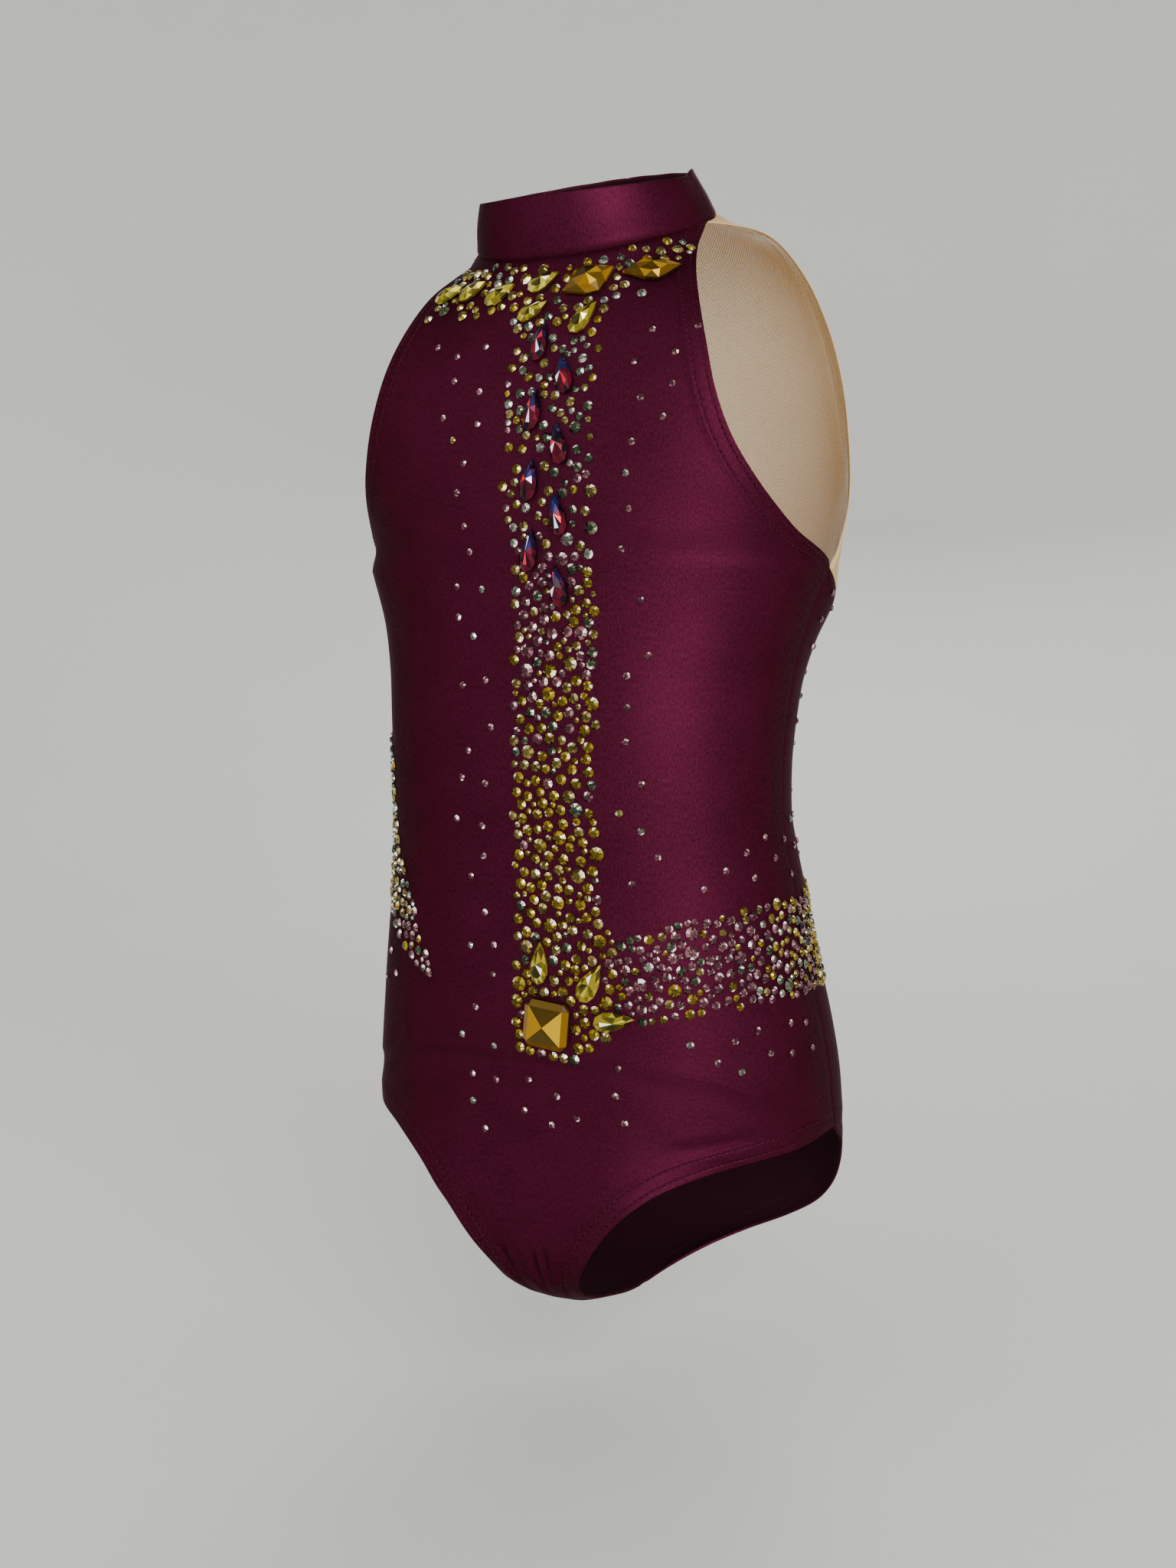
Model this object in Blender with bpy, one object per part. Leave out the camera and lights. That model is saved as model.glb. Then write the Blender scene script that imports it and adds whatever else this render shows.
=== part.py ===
# Rhythmic gymnastics leotard in its worn shape, empty: front, back, net yokes, stand collar, sew-on stones.
# Origin: centre of the ring where the collar joins the body. +X is its left side, -Y its front, +Z up.
import math
from collections import namedtuple

import bmesh
import bpy
import numpy as np
from mathutils import Matrix, Vector
from mathutils.bvhtree import BVHTree

MM = 0.001

# Cloth
CLOTH_WALL = 1.2 * MM
COLLAR_WALL = 1.6 * MM
SEAM_GAP = 0.3 * MM
# Walls lean together behind a curved seam, so each outer edge stands this much further back
SEAM_LEAN = 0.1 * MM
SEAM_TRIM = SEAM_GAP / 2 + SEAM_LEAN
SEAT_GAP = 0.35 * MM

# Collar, in millimetres: the ring that it is sewn to, and its free top ring
COLLAR_RING_X = 55.5
COLLAR_RING_Y = 57.5
COLLAR_RING_TILT = 23.0
COLLAR_TOP_RADIUS = 48.7
COLLAR_TOP_TILT = 15.6
COLLAR_TOP_FORWARD = 12.0
COLLAR_TOP_RISE = 16.1
COLLAR_BACK_RISE = 6.0
HOOK_WIDTH = 9.0
HOOK_HEIGHT = 6.0
HOOK_WALL = 0.8
# The flat hook's ends come nearest to the curved collar, so its middle stands this far inside
HOOK_CLEAR = 0.75

# Mesh density: faces across and down each piece; the yokes and the back share one run of sections
FRONT_FACES = (26, 42)
BACK_FACES = (26, 42)
COLLAR_FACES = (40, 3)
FINE_STEPS = 240
# A cubic stays between two table values while its slope at each is at most this many times their step
STEEPEST = 3.0

# One row for each section of a panel, in millimetres. mid is the section's point on the centre line, edge its
# point at the panel's left-hand side, turn the degrees of arc between them, square the arc's exponent
# (2 is an ellipse, more is squarer). The right-hand side is the mirror image.
Row = namedtuple("Row", "mid_y mid_z edge_x edge_y edge_z turn square")

ARMHOLE_ROWS = [
    # collar seam, then down the front armhole
    Row(-52.9, -22.5, 55.4, -3.7, -1.6, 86, 2.0),
    Row(-56.5, -31.0, 56.3, -14.0, -11.5, 82, 2.05),
    Row(-60.2, -41.0, 59.6, -26.5, -20.5, 77, 2.1),
    Row(-64.0, -52.0, 64.5, -40.0, -31.5, 70, 2.15),
    Row(-67.6, -64.0, 70.2, -51.0, -47.0, 62, 2.2),
    Row(-71.0, -78.0, 76.0, -58.6, -65.0, 55, 2.2),
    Row(-73.8, -94.0, 81.4, -62.0, -86.0, 51, 2.25),
    Row(-75.8, -110.0, 87.0, -59.0, -104.0, 52, 2.3),
    Row(-76.8, -126.0, 94.3, -49.0, -121.0, 58, 2.3),
    Row(-77.0, -141.0, 102.8, -29.0, -139.0, 69, 2.3),
]

FRONT_LEG_ROWS = [
    # leg edge, from below the side seam's foot to the crotch seam
    Row(-71.1, -366.5, 103.2, -19.0, -402.2, 71, 2.3),
    Row(-70.9, -375.0, 93.0, -36.0, -403.2, 57, 2.3),
    Row(-70.8, -386.5, 76.0, -50.5, -407.0, 45, 2.3),
    Row(-71.1, -402.5, 55.0, -65.0, -415.5, 38, 2.2),
    Row(-71.9, -420.5, 41.5, -70.5, -426.5, 40, 2.2),
    Row(-71.2, -436.0, 32.7, -70.2, -437.0, 40, 2.1),
    Row(-68.3, -449.0, 26.0, -67.3, -447.0, 40, 2.1),
    Row(-62.5, -460.0, 20.5, -62.0, -456.3, 40, 2.0),
    Row(-52.3, -469.5, 17.2, -55.0, -464.5, 40, 2.0),
    Row(-39.5, -476.5, 16.4, -41.0, -472.5, 40, 2.0),
    Row(-21.0, -483.0, 16.8, -22.5, -479.0, 40, 2.0),
    Row(-2.0, -486.8, 17.8, -4.5, -484.0, 40, 2.0),
    Row(12.0, -488.0, 18.5, 10.5, -486.6, 40, 2.0),
]

BACK_LEG_ROWS = [
    # leg edge round the seat to the crotch seam
    Row(96.4, -412.0, 107.8, 27.0, -411.0, 82, 2.3),
    Row(94.4, -425.0, 104.5, 39.5, -424.0, 75, 2.25),
    Row(91.0, -438.0, 98.0, 50.5, -439.5, 68, 2.2),
    Row(85.5, -452.0, 87.5, 58.5, -453.0, 62, 2.2),
    Row(77.5, -465.0, 72.0, 61.5, -463.5, 56, 2.1),
    Row(66.0, -476.5, 54.0, 57.5, -471.5, 50, 2.1),
    Row(50.0, -484.5, 37.5, 47.0, -478.5, 46, 2.0),
    Row(31.0, -488.0, 25.0, 30.0, -484.0, 44, 2.0),
    Row(12.0, -488.0, 18.5, 10.5, -486.6, 44, 2.0),
]

YOKE_ROWS = [
    # collar seam, over the shoulder blade, down to the back panel
    Row(52.9, 22.5, 55.4, -3.2, -1.5, 94, 2.0),
    Row(60.5, 10.0, 65.0, 11.0, -1.0, 88, 2.05),
    Row(68.5, -4.0, 76.0, 25.0, -4.0, 80, 2.1),
    Row(76.0, -21.0, 87.0, 39.0, -19.0, 72, 2.15),
    Row(82.0, -42.0, 95.5, 49.5, -42.0, 66, 2.2),
    Row(86.5, -67.0, 101.5, 53.0, -68.0, 64, 2.2),
    Row(88.5, -94.0, 105.3, 50.5, -96.0, 68, 2.3),
    Row(87.8, -122.0, 108.2, 41.0, -121.0, 74, 2.3),
    Row(83.8, -150.0, 109.4, 25.0, -139.5, 81, 2.3),
    Row(79.0, -172.0, 109.6, 13.5, -149.5, 86, 2.3),
]

# One level of the body between the underarm and the hip, in millimetres: half its width, how far back its
# side seam lies, and its centre front and centre back
Level = namedtuple("Level", "z half_width seam_y front_y back_y")

TORSO_LEVELS = [
    Level(-156.0, 109.6, 4.5, -76.8, 82.6),
    Level(-181.0, 100.6, 1.0, -76.0, 77.0),
    Level(-200.0, 96.3, -3.5, -76.3, 72.4),
    Level(-220.0, 94.0, -6.5, -77.0, 66.8),
    Level(-242.0, 92.4, -8.0, -77.3, 62.6),
    Level(-262.0, 92.0, -7.5, -76.3, 62.2),
    Level(-280.0, 93.6, -4.5, -74.5, 65.5),
    Level(-300.0, 96.4, -1.0, -73.5, 71.0),
    Level(-320.0, 99.2, 1.0, -73.3, 76.5),
    Level(-340.0, 102.4, 5.0, -72.6, 83.0),
    Level(-360.0, 105.2, 9.5, -71.4, 89.5),
    Level(-380.0, 107.4, 12.5, -70.8, 94.5),
    Level(-401.5, 108.6, 13.5, -71.1, 97.0),
]
UNDERARM = TORSO_LEVELS[0].z
SEAM_FOOT = TORSO_LEVELS[-1].z
TORSO_TURN = 90
TORSO_SQUARE = 2.3

# The back panel's top edge dips at the centre back, and its sections are level again at the hip. Below the hip
# the front panel's sections rise towards the centre front, so that they meet the leg edge at an angle.
BACK_SCOOP = 34.0
FRONT_LIFT = 41.5
LEVEL_AT = -300.0

# Sew-on stones, in millimetres. across and height place the centre on the front panel, lean turns the tip
# clockwise from straight up as the front is seen.
Stone = namedtuple("Stone", "name cut colour across height lean length width thick")

# The chest drops follow one rule: a zigzag down a strip beside the centre front
CHEST_DROPS = 8
CHEST_STRIP_ACROSS = 11.0
CHEST_ZIGZAG = 6.3
CHEST_TOP = -62.0
CHEST_PITCH = 14.7
CHEST_LEAN = 9.0
CHEST_DROP_SIZE = (18.0, 10.5, 4.0)

COLLAR_STONES = [
    Stone("gem_drop_collar_1", "drop", "citrine", -51.5, -33.5, 60, 15.0, 10.0, 4.0),
    Stone("gem_drop_collar_2", "drop", "citrine", -36.5, -34.0, 64, 15.0, 10.0, 4.0),
    Stone("gem_drop_collar_3", "drop", "citrine", -19.5, -38.0, 62, 16.0, 10.5, 4.2),
    Stone("gem_drop_collar_4", "drop", "citrine", 2.0, -34.5, 60, 15.5, 9.5, 4.2),
    Stone("gem_drop_collar_5", "drop", "citrine", -1.0, -47.5, 60, 15.0, 9.5, 4.0),
    Stone("gem_drop_collar_6", "drop", "citrine", 23.0, -52.5, 34, 17.0, 10.0, 4.2),
    Stone("gem_marquise_collar_1", "marquise", "amber", 22.0, -35.5, 56, 24.0, 16.0, 5.5),
    Stone("gem_marquise_collar_2", "marquise", "amber", 46.5, -31.5, 64, 25.0, 13.5, 5.0),
]

HIP_STONES = [
    Stone("gem_drop_hip_1", "drop", "citrine", 7.5, -322.0, 4, 18.0, 10.5, 4.2),
    Stone("gem_drop_hip_2", "drop", "citrine", 30.0, -328.5, 30, 18.0, 11.5, 4.2),
    Stone("gem_drop_hip_3", "drop", "citrine", 39.5, -344.0, 82, 17.5, 11.0, 4.2),
    Stone("gem_square_hip_1", "square", "amber", 10.5, -347.5, 6, 20.0, 20.0, 5.5),
]

# Shares of a stone's thickness and width, and the outlines in shares of half the length and width
GIRDLE_SHARE = 0.3
TABLE_SHARE = 0.5
DROP_POINTS = 12
DROP_TAPER = 0.55
HALF_MARQUISE = [(0, 1), (0.62, 0.5), (1, 0.14), (0.8, -0.32)]
SQUARE_CORNER = 0.72

# Rays that find the cloth start this far in front of the part, or this far above a stone's back
RAY_START_Y = -1.0
STONE_REACH = 5 * MM

# Colour, roughness and metallic value of each finish
FINISHES = {
    "spandex": ((0.075, 0.010, 0.030, 1.0), 0.42, 0.0),
    "net": ((0.60, 0.42, 0.23, 1.0), 0.7, 0.0),
    "citrine": ((0.78, 0.60, 0.10, 1.0), 0.08, 0.5),
    "amber": ((0.85, 0.42, 0.03, 1.0), 0.08, 0.5),
    "garnet": ((0.30, 0.02, 0.10, 1.0), 0.08, 0.5),
    "steel": ((0.55, 0.55, 0.56, 1.0), 0.3, 1.0),
}


def clear_scene():
    for obj in list(bpy.data.objects):
        bpy.data.objects.remove(obj, do_unlink=True)


def make_material(name):
    colour, roughness, metallic = FINISHES[name]
    material = bpy.data.materials.new(name)
    material.use_nodes = True
    shader = material.node_tree.nodes["Principled BSDF"]
    shader.inputs["Base Color"].default_value = colour
    shader.inputs["Roughness"].default_value = roughness
    shader.inputs["Metallic"].default_value = metallic
    return material


def add_object(name, bm, material):
    bm.normal_update()
    mesh = bpy.data.meshes.new(name)
    bm.to_mesh(mesh)
    bm.free()
    mesh.materials.append(material)
    obj = bpy.data.objects.new(name, mesh)
    bpy.context.scene.collection.objects.link(obj)
    return obj


def signed_power(value, exponent):
    return np.sign(value) * np.abs(value) ** exponent


def even_steps(points, count):
    """Points at equal distances along a line of points."""
    lengths = np.linalg.norm(np.diff(points, axis=0), axis=1)
    travelled = np.concatenate([[0.0], np.cumsum(lengths)])
    wanted = np.linspace(0.0, travelled[-1], count)
    return np.stack([np.interp(wanted, travelled, points[:, axis]) for axis in range(3)], axis=1)


def smooth_through(stations, values, wanted):
    """A smooth curve through the rows of a table, which stays between two rows' values."""
    slopes = np.gradient(values, stations, axis=0)
    steps = np.diff(values, axis=0) / np.diff(stations)[:, None]
    limit = STEEPEST * np.minimum(np.abs(steps[:-1]), np.abs(steps[1:]))
    turns_back = steps[:-1] * steps[1:] <= 0
    slopes[1:-1] = np.where(turns_back, 0.0, np.clip(slopes[1:-1], -limit, limit))
    place = np.clip(np.searchsorted(stations, wanted, side="right") - 1, 0, len(stations) - 2)
    width = stations[place + 1] - stations[place]
    t = ((wanted - stations[place]) / width)[:, None]
    width = width[:, None]
    start, end = values[place], values[place + 1]
    leave, arrive = slopes[place] * width, slopes[place + 1] * width
    return ((2 * t**3 - 3 * t**2 + 1) * start + (t**3 - 2 * t**2 + t) * leave
            + (-2 * t**3 + 3 * t**2) * end + (t**3 - t**2) * arrive)


def torso_line(z):
    """Half width, seam place, centre front and centre back of the body at height z."""
    levels = np.array(TORSO_LEVELS)
    return smooth_through(-levels[:, 0], levels[:, 1:], np.array([-z]))[0]


def level_row(level, mid_y, mid_z):
    return Row(mid_y, mid_z, level.half_width, level.seam_y, level.z, TORSO_TURN, TORSO_SQUARE)


def front_rows():
    torso = []
    for level in TORSO_LEVELS:
        below = max(0.0, (LEVEL_AT - level.z) / (LEVEL_AT - SEAM_FOOT))
        middle = level.z + FRONT_LIFT * below**2
        torso.append(level_row(level, torso_line(middle)[2], middle))
    return ARMHOLE_ROWS + torso + FRONT_LEG_ROWS


def back_rows():
    torso = []
    for level in TORSO_LEVELS:
        above = max(0.0, (level.z - LEVEL_AT) / (UNDERARM - LEVEL_AT))
        middle = level.z - BACK_SCOOP * above**2
        torso.append(level_row(level, torso_line(middle)[3], middle))
    return YOKE_ROWS + torso + BACK_LEG_ROWS


def rows_between(table, count):
    """Sections at even distances down a panel, read from a smooth curve through the table.

    A section falls on each end of the side seam, and all sections between them end on that seam.
    """
    values = np.array(table, dtype=float)
    middle_steps = np.linalg.norm(np.diff(values[:, 0:2], axis=0), axis=1)
    edge_steps = np.linalg.norm(np.diff(values[:, 2:5], axis=0), axis=1)
    stations = np.concatenate([[0.0], np.cumsum((middle_steps + edge_steps) / 2)])
    wanted = np.linspace(0.0, stations[-1], count)
    for row, station in zip(table, stations):
        if row.turn == TORSO_TURN and row.edge_z in (UNDERARM, SEAM_FOOT):
            wanted[np.abs(wanted - station).argmin()] = station
    rows = [Row(*values_here) for values_here in smooth_through(stations, values, wanted)]
    return [seam_row(row) if on_side_seam(row) else row for row in rows]


def on_side_seam(row):
    return SEAM_FOOT <= row.edge_z <= UNDERARM


def seam_row(row):
    half_width, seam_y, _, _ = torso_line(row.edge_z)
    return row._replace(edge_x=half_width, edge_y=seam_y, turn=TORSO_TURN)


def section(row, start, count):
    """One section's points, from start (-1 is the right side, 0 the centre line) to the left side."""
    power = 2.0 / row.square
    turn = math.radians(row.turn)
    angles = np.linspace(start * turn, turn, FINE_STEPS)
    across = signed_power(np.sin(angles), power) / signed_power(np.sin(turn), power)
    fall = (1 - signed_power(np.cos(angles), power)) / (1 - signed_power(np.cos(turn), power))
    points = np.stack([row.edge_x * across,
                       row.mid_y + (row.edge_y - row.mid_y) * fall,
                       row.mid_z + (row.edge_z - row.mid_z) * fall], axis=1)
    return even_steps(points * MM, count)


def pull_in(line, neighbour, amount):
    """Move a line of seam points towards the next line by amount."""
    step = neighbour - line
    return line + step / np.linalg.norm(step, axis=-1, keepdims=True) * amount


def trim_seams(grid, top=False, bottom=False, sides=False, centre=False):
    """Take half of a seam's gap off each sewn edge of a piece."""
    if top:
        grid[0] = pull_in(grid[0], grid[1], SEAM_TRIM)
    if bottom:
        grid[-1] = pull_in(grid[-1], grid[-2], SEAM_TRIM)
    if sides or centre:
        grid[:, 0] = pull_in(grid[:, 0], grid[:, 1], SEAM_TRIM)
    if sides:
        grid[:, -1] = pull_in(grid[:, -1], grid[:, -2], SEAM_TRIM)
    return grid


def grid_mesh(grid, flip):
    """A sheet of faces on a grid of points that runs down and then across, facing out."""
    bm = bmesh.new()
    lines = [[bm.verts.new(point) for point in line] for line in grid]
    for upper, lower in zip(lines, lines[1:]):
        for i in range(len(upper) - 1):
            corners = [upper[i], lower[i], lower[i + 1], upper[i + 1]]
            bm.faces.new(corners[::-1] if flip else corners)
    return bm


def add_cloth(name, grid, material, wall, flip=False):
    """A cloth piece: its outer surface, thickened inwards."""
    obj = add_object(name, grid_mesh(grid, flip), material)
    obj.data.shade_smooth()
    thick = obj.modifiers.new("wall", "SOLIDIFY")
    thick.thickness = wall
    thick.offset = -1.0
    thick.use_even_offset = True
    return obj


def trim_side_seams(grid, rows):
    """Take half a gap off both side seams, between the underarm and the seam's foot."""
    for line, row in zip(grid, rows):
        if on_side_seam(row):
            line[0] = pull_in(line[0], line[1], SEAM_TRIM)
            line[-1] = pull_in(line[-1], line[-2], SEAM_TRIM)
    return grid


def body_grid(rows, faces_across):
    """The front or the back panel, trimmed at its collar or yoke seam, its crotch seam and its side seams."""
    grid = np.stack([section(row, -1, faces_across + 1) for row in rows])
    return trim_side_seams(trim_seams(grid, top=True, bottom=True), rows)


def yoke_grid(rows, faces_across):
    """The net yoke's left half, from the centre back to the armhole."""
    grid = np.stack([section(row, 0, faces_across + 1) for row in rows])
    return trim_seams(grid, top=True, bottom=True, centre=True)


def collar_ring(angle, height):
    """A point of the collar: angle from the centre front, height from 0 at the seam to 1 at the top."""
    ring_tilt = math.radians(COLLAR_RING_TILT)
    top_tilt = math.radians(COLLAR_TOP_TILT)
    low = Vector((COLLAR_RING_X * math.sin(angle),
                  -COLLAR_RING_Y * math.cos(angle) * math.cos(ring_tilt),
                  -COLLAR_RING_Y * math.cos(angle) * math.sin(ring_tilt)))
    behind = ((1 - math.cos(angle)) / 2) ** 2
    top = Vector((COLLAR_TOP_RADIUS * math.sin(angle),
                  -COLLAR_TOP_FORWARD - COLLAR_TOP_RADIUS * math.cos(angle) * math.cos(top_tilt),
                  COLLAR_TOP_RISE - COLLAR_TOP_RADIUS * math.cos(angle) * math.sin(top_tilt)
                  + COLLAR_BACK_RISE * behind))
    return low.lerp(top, height) * MM


def collar_grid():
    across, down = COLLAR_FACES
    angles = np.linspace(-math.pi, math.pi, across + 1)
    heights = np.linspace(1.0, 0.0, down + 1)
    grid = np.array([[collar_ring(angle, height) for angle in angles] for height in heights])
    return trim_seams(grid, bottom=True, sides=True)


def make_hook(material):
    """The small bar inside the collar that closes its two ends."""
    low = collar_ring(math.pi, 0.0)
    top = collar_ring(math.pi, 1.0)
    up = (top - low).normalized()
    outwards = Vector((1.0, 0.0, 0.0)).cross(up)
    if outwards.z < 0:
        outwards = -outwards
    depth = COLLAR_WALL + (HOOK_CLEAR + HOOK_WALL / 2) * MM
    centre = (low + top) / 2 - outwards * depth
    bm = bmesh.new()
    bmesh.ops.create_cube(bm, size=1.0)
    bmesh.ops.scale(bm, vec=Vector((HOOK_WIDTH, HOOK_HEIGHT, HOOK_WALL)) * MM, verts=bm.verts)
    side = up.cross(outwards)
    place = Matrix((side, up, outwards)).transposed().to_4x4()
    place.translation = centre
    bmesh.ops.transform(bm, matrix=place, verts=bm.verts)
    return add_object("collar_hook", bm, material)


def drop_outline(length, width):
    """A drop seen from above: a round foot that narrows to a point at the top."""
    points = []
    for step in range(DROP_POINTS):
        angle = 2 * math.pi * step / DROP_POINTS
        narrow = ((1 - math.cos(angle)) / 2) ** DROP_TAPER
        points.append(Vector((width / 2 * math.sin(angle) * narrow, length / 2 * math.cos(angle))))
    return points


def marquise_outline(length, width):
    """A long eight-sided shape with two points and straight shoulders, the same after half a turn."""
    corners = HALF_MARQUISE + [(-x, -y) for x, y in HALF_MARQUISE]
    return [Vector((x * width / 2, y * length / 2)) for x, y in corners]


def square_outline(length, width):
    """A square with cut corners."""
    cut = SQUARE_CORNER
    corners = [(-cut, 1), (cut, 1), (1, cut), (1, -cut), (cut, -1), (-cut, -1), (-1, -cut), (-1, cut)]
    return [Vector((x * width / 2, y * length / 2)) for x, y in corners]


OUTLINES = {"drop": drop_outline, "marquise": marquise_outline, "square": square_outline}


def seat_height(outline, place, ground):
    """How far the cloth under a stone rises above the plane through the stone's middle."""
    normal = place.col[2].to_3d()
    height = 0.0
    for share in (0.5, 1.0):
        for point in outline:
            above = place @ Vector((point.x * MM * share, point.y * MM * share, STONE_REACH))
            _, _, _, distance = ground.ray_cast(above, -normal)
            if distance is not None:
                height = max(height, STONE_REACH - distance)
    return height


def make_stone(stone, ground, material):
    """A faceted stone with a flat back, seated on the front panel."""
    outline = OUTLINES[stone.cut](stone.length, stone.width)[::-1]
    start = Vector((stone.across * MM, RAY_START_Y, stone.height * MM))
    spot, normal, _, _ = ground.ray_cast(start, Vector((0.0, 1.0, 0.0)))
    lean = math.radians(stone.lean)
    upright = Vector((math.sin(lean), 0.0, math.cos(lean)))
    tip = (upright - normal * upright.dot(normal)).normalized()
    side = tip.cross(normal)
    place = Matrix((side, tip, normal)).transposed().to_4x4()
    place.translation = spot
    lift = SEAT_GAP + seat_height(outline, place, ground)
    place.translation = spot + normal * lift
    bm = bmesh.new()
    back = bm.faces.new([bm.verts.new((p.x * MM, p.y * MM, 0.0)) for p in outline])
    bmesh.ops.recalc_face_normals(bm, faces=bm.faces)
    if back.normal.z > 0:
        back.normal_flip()
    girdle = bmesh.ops.extrude_face_region(bm, geom=[back])
    ring = [item for item in girdle["geom"] if isinstance(item, bmesh.types.BMVert)]
    bmesh.ops.translate(bm, vec=(0.0, 0.0, stone.thick * GIRDLE_SHARE * MM), verts=ring)
    crown = [item for item in girdle["geom"] if isinstance(item, bmesh.types.BMFace)][0]
    table = bmesh.ops.extrude_face_region(bm, geom=[crown])
    bmesh.ops.delete(bm, geom=[crown], context="FACES_ONLY")
    top = [item for item in table["geom"] if isinstance(item, bmesh.types.BMVert)]
    bmesh.ops.scale(bm, vec=(TABLE_SHARE, TABLE_SHARE, 1.0), verts=top)
    bmesh.ops.translate(bm, vec=(0.0, 0.0, stone.thick * (1 - GIRDLE_SHARE) * MM), verts=top)
    bmesh.ops.triangulate(bm, faces=bm.faces)
    bmesh.ops.recalc_face_normals(bm, faces=bm.faces)
    bmesh.ops.transform(bm, matrix=place, verts=bm.verts)
    return add_object(stone.name, bm, material)


def chest_stones():
    stones = []
    for i in range(CHEST_DROPS):
        swing = -1 if i % 2 == 0 else 1
        stones.append(Stone(f"gem_drop_chest_{i + 1}", "drop", "garnet",
                            CHEST_STRIP_ACROSS + swing * CHEST_ZIGZAG, CHEST_TOP - i * CHEST_PITCH,
                            -swing * CHEST_LEAN, *CHEST_DROP_SIZE))
    return stones


def main():
    clear_scene()
    materials = {name: make_material(name) for name in FINISHES}

    across, down = FRONT_FACES
    front = body_grid(rows_between(front_rows(), down + 1), across)
    add_cloth("front_panel", front, materials["spandex"], CLOTH_WALL)

    across, down = BACK_FACES
    rows = rows_between(back_rows(), down + 1)
    first_back = next(i for i, row in enumerate(rows) if on_side_seam(row))
    back = body_grid(rows[first_back:], across)
    add_cloth("back_panel", back, materials["spandex"], CLOTH_WALL, flip=True)
    yoke = yoke_grid(rows[:first_back + 1], across // 2)
    mirror = np.array([-1.0, 1.0, 1.0])
    add_cloth("back_yoke_left", yoke, materials["net"], CLOTH_WALL, flip=True)
    add_cloth("back_yoke_right", yoke * mirror, materials["net"], CLOTH_WALL)

    add_cloth("collar", collar_grid(), materials["spandex"], COLLAR_WALL)
    make_hook(materials["steel"])

    sheet = grid_mesh(front, False)
    sheet.normal_update()
    ground = BVHTree.FromBMesh(sheet)
    sheet.free()
    for stone in COLLAR_STONES + chest_stones() + HIP_STONES:
        make_stone(stone, ground, materials[stone.colour])


main()
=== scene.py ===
import math
import random
from collections import namedtuple

import bmesh
import bpy
import numpy as np
from mathutils import Matrix, Vector, noise
from mathutils.bvhtree import BVHTree
from mathutils.kdtree import KDTree


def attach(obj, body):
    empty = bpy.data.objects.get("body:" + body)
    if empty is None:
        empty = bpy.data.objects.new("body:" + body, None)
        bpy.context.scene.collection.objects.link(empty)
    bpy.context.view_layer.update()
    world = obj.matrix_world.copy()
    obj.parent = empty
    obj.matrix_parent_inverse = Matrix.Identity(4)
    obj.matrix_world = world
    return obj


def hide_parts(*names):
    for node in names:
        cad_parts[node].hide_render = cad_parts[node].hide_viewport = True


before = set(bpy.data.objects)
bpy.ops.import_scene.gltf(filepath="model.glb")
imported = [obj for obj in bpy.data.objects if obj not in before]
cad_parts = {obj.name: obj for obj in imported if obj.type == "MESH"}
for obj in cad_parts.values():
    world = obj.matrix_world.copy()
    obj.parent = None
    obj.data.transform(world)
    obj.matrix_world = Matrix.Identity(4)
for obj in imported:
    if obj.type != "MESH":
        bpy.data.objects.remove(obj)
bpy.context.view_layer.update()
MM = 0.001

# Walls, their rounded rims and the seams between panels
CLOTH_WALL = 1.2 * MM
NET_WALL = 0.5 * MM
COLLAR_WALL = 1.6 * MM
RIM_SHARE = 0.3
RIM_SEGMENTS = 2
RIM_ANGLE = math.radians(50)
SEAM_HALF_GAP = 0.05 * MM
SEAM_LAP = 0.6 * MM

# Hems, stitch lines and seams, in millimetres from the edge or in depth
HEM_WIDTH = 8.6
HEM_RISE = 0.3
HEM_SLOPE = 1.8
HEM_STITCH = 7.2
HEM_STITCH_WIDTH = 0.8
EDGE_STITCH = 2.4
EDGE_STITCH_WIDTH = 0.6
STITCH_SINK = 0.10
SEAM_SINK = 0.45
SEAM_WIDTH = 1.3
FAR_FROM_HEM = 60.0
EDGE_STEP = 0.6
# Slow swells of the cloth, in millimetres: their size, their height, and how far they stay off hems and seams
SWELL_SIZE = 45
CLOTH_SWELL = 0.22
NET_SWELL = 0.3
CALM_WIDTH = 12.0
NET_HEM = 3.2

# Sewing thread, in millimetres
STITCH_PITCH = 2.6
STITCH_SHARE = 0.72
STITCH_WIDTH = 0.17
STITCH_LIFT = 0.06
ZIGZAG_PITCH = 1.1
ZIGZAG_NEAR = 0.5
ZIGZAG_FAR = 3.0
ZIGZAG_WIDTH = 0.2

# Faces down each panel, across it between its hems, and columns inside a hem in millimetres from the edge
DOWN_FACES = 168
MIDDLE_FACES = {-1: 76, 0: 34}
HEM_COLUMNS = (0, 0.5, 1.0, 1.6, 2.2, 2.8, 3.5, 4.5, 5.7, 6.4, 7.0, 7.6, 8.4, 9.3, 10.5)
HEM_MOST = 0.4
FINE_STEPS = 1200
COLLAR_FACES = (260, 26)
# A cubic stays between two table values while its slope at each is at most this many times their step
STEEPEST = 3.0

# Collar, in millimetres: the ring that it is sewn to, and its free top ring
COLLAR_RING_X = 55.5
COLLAR_RING_Y = 57.5
COLLAR_RING_TILT = 23.0
COLLAR_TOP_RADIUS = 48.7
COLLAR_TOP_TILT = 15.6
COLLAR_TOP_FORWARD = 12.0
COLLAR_TOP_RISE = 16.1
COLLAR_BACK_RISE = 6.0
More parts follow.
